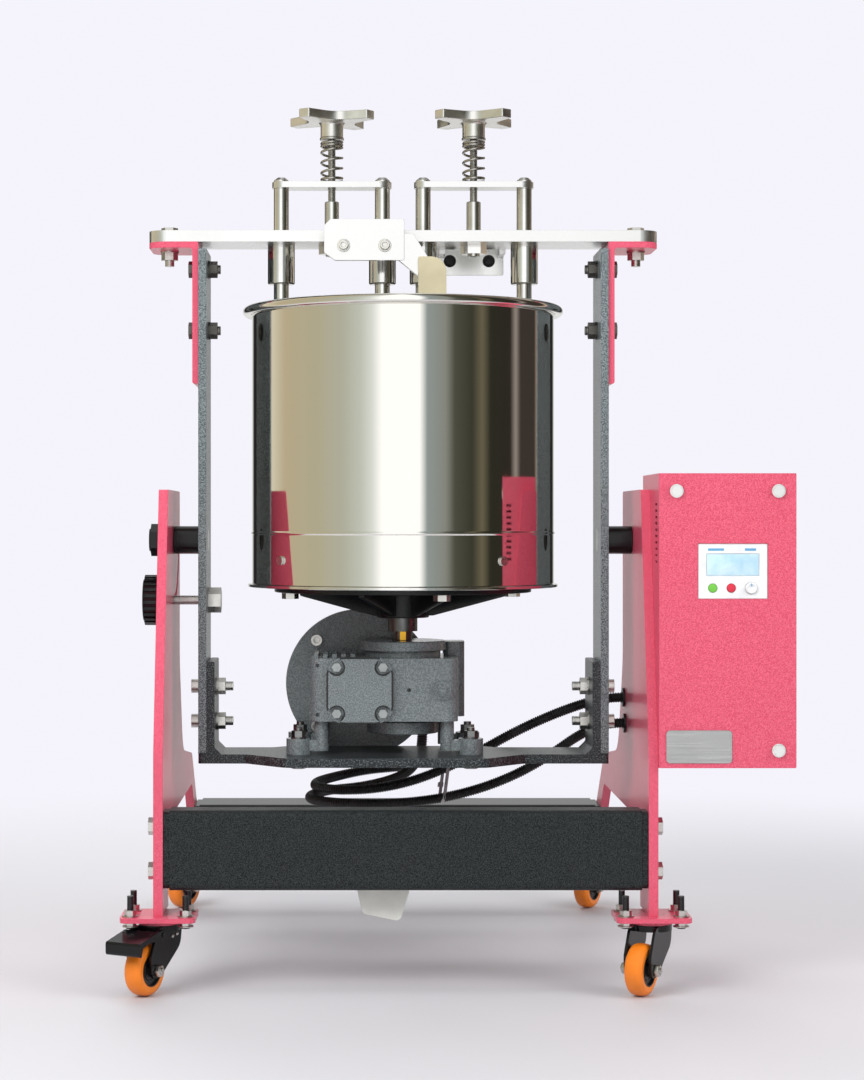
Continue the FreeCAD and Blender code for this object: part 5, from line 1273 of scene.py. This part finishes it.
studio["walls"] = [
    (0.045, (1.3, 1.3, 1.3)), (0.066, (0.85, 0.88, 0.85)), (0.09, (0.64, 0.67, 0.60)), (0.13, (0.53, 0.53, 0.44)),
    (0.19, (0.53, 0.49, 0.35)), (0.28, (0.58, 0.49, 0.33)), (0.33, (0.78, 0.72, 0.56)), (0.342, (0.02, 0.02, 0.02)),
    (0.44, (0.02, 0.02, 0.02)), (0.46, (0.8, 0.8, 0.8)), (0.54, (0.8, 0.8, 0.8)), (0.56, (0.02, 0.02, 0.02)),
    (0.605, (0.02, 0.02, 0.02)), (0.625, (0.58, 0.52, 0.42)), (0.66, (0.60, 0.48, 0.35)), (0.675, (0.05, 0.04, 0.035)),
    (0.728, (0.05, 0.04, 0.035)), (0.742, (0.34, 0.29, 0.26)), (0.757, (0.03, 0.025, 0.02)), (0.812, (0.03, 0.03, 0.02)),
    (0.832, (0.16, 0.14, 0.09)), (0.855, (0.05, 0.05, 0.035)), (0.895, (0.09, 0.09, 0.07)), (0.915, (0.29, 0.30, 0.27)),
    (0.953, (0.33, 0.38, 0.38)), (0.969, (1.3, 1.3, 1.3)),
]


def addLamp(name, at, aim, size, power, colour=(1, 1, 1)):
    lamp = bpy.data.lights.new(name, "AREA")
    lamp.shape = "RECTANGLE"
    lamp.size, lamp.size_y = size
    lamp.energy = power
    lamp.color = colour
    item = bpy.data.objects.new(name, lamp)
    item.location = at
    item.rotation_euler = (Vector(aim) - Vector(at)).to_track_quat("-Z", "Y").to_euler()
    bpy.context.collection.objects.link(item)
    item.visible_glossy = False
    return item


def addCamera():
    # level, in front of the machine, a little left of the drum
    lens = bpy.data.cameras.new("camera")
    lens.lens = 79.17
    lens.shift_x = 0.0713
    lens.shift_y = -0.0157
    lens.clip_start = 0.05
    camera = bpy.data.objects.new("camera", lens)
    camera.location = spot(-63.3, -3150, 588)
    camera.rotation_euler = (math.radians(90), 0, 0)
    bpy.context.collection.objects.link(camera)
    bpy.context.scene.camera = camera


addFloor()
setWorld()
addLamp("keyLamp", (-1.6, -2.4, 2.3), (0, 0, 0.6), (1.6, 1.6), studio["keyPower"])
addLamp("sideLamp", (2.2, -1.6, 1.5), (0, 0, 0.55), (1.3, 1.8), studio["sidePower"])
addLamp("topLamp", (0, 0.2, 3.2), (0, 0, 0.4), (2.6, 2.6), studio["topPower"])
addLamp("rearLamp", (-0.8, 2.6, 1.9), (0, 0, 0.6), (1.8, 1.4), studio["sidePower"])
addCamera()
bpy.context.scene.view_settings.view_transform = "Standard"
print("studio is set")
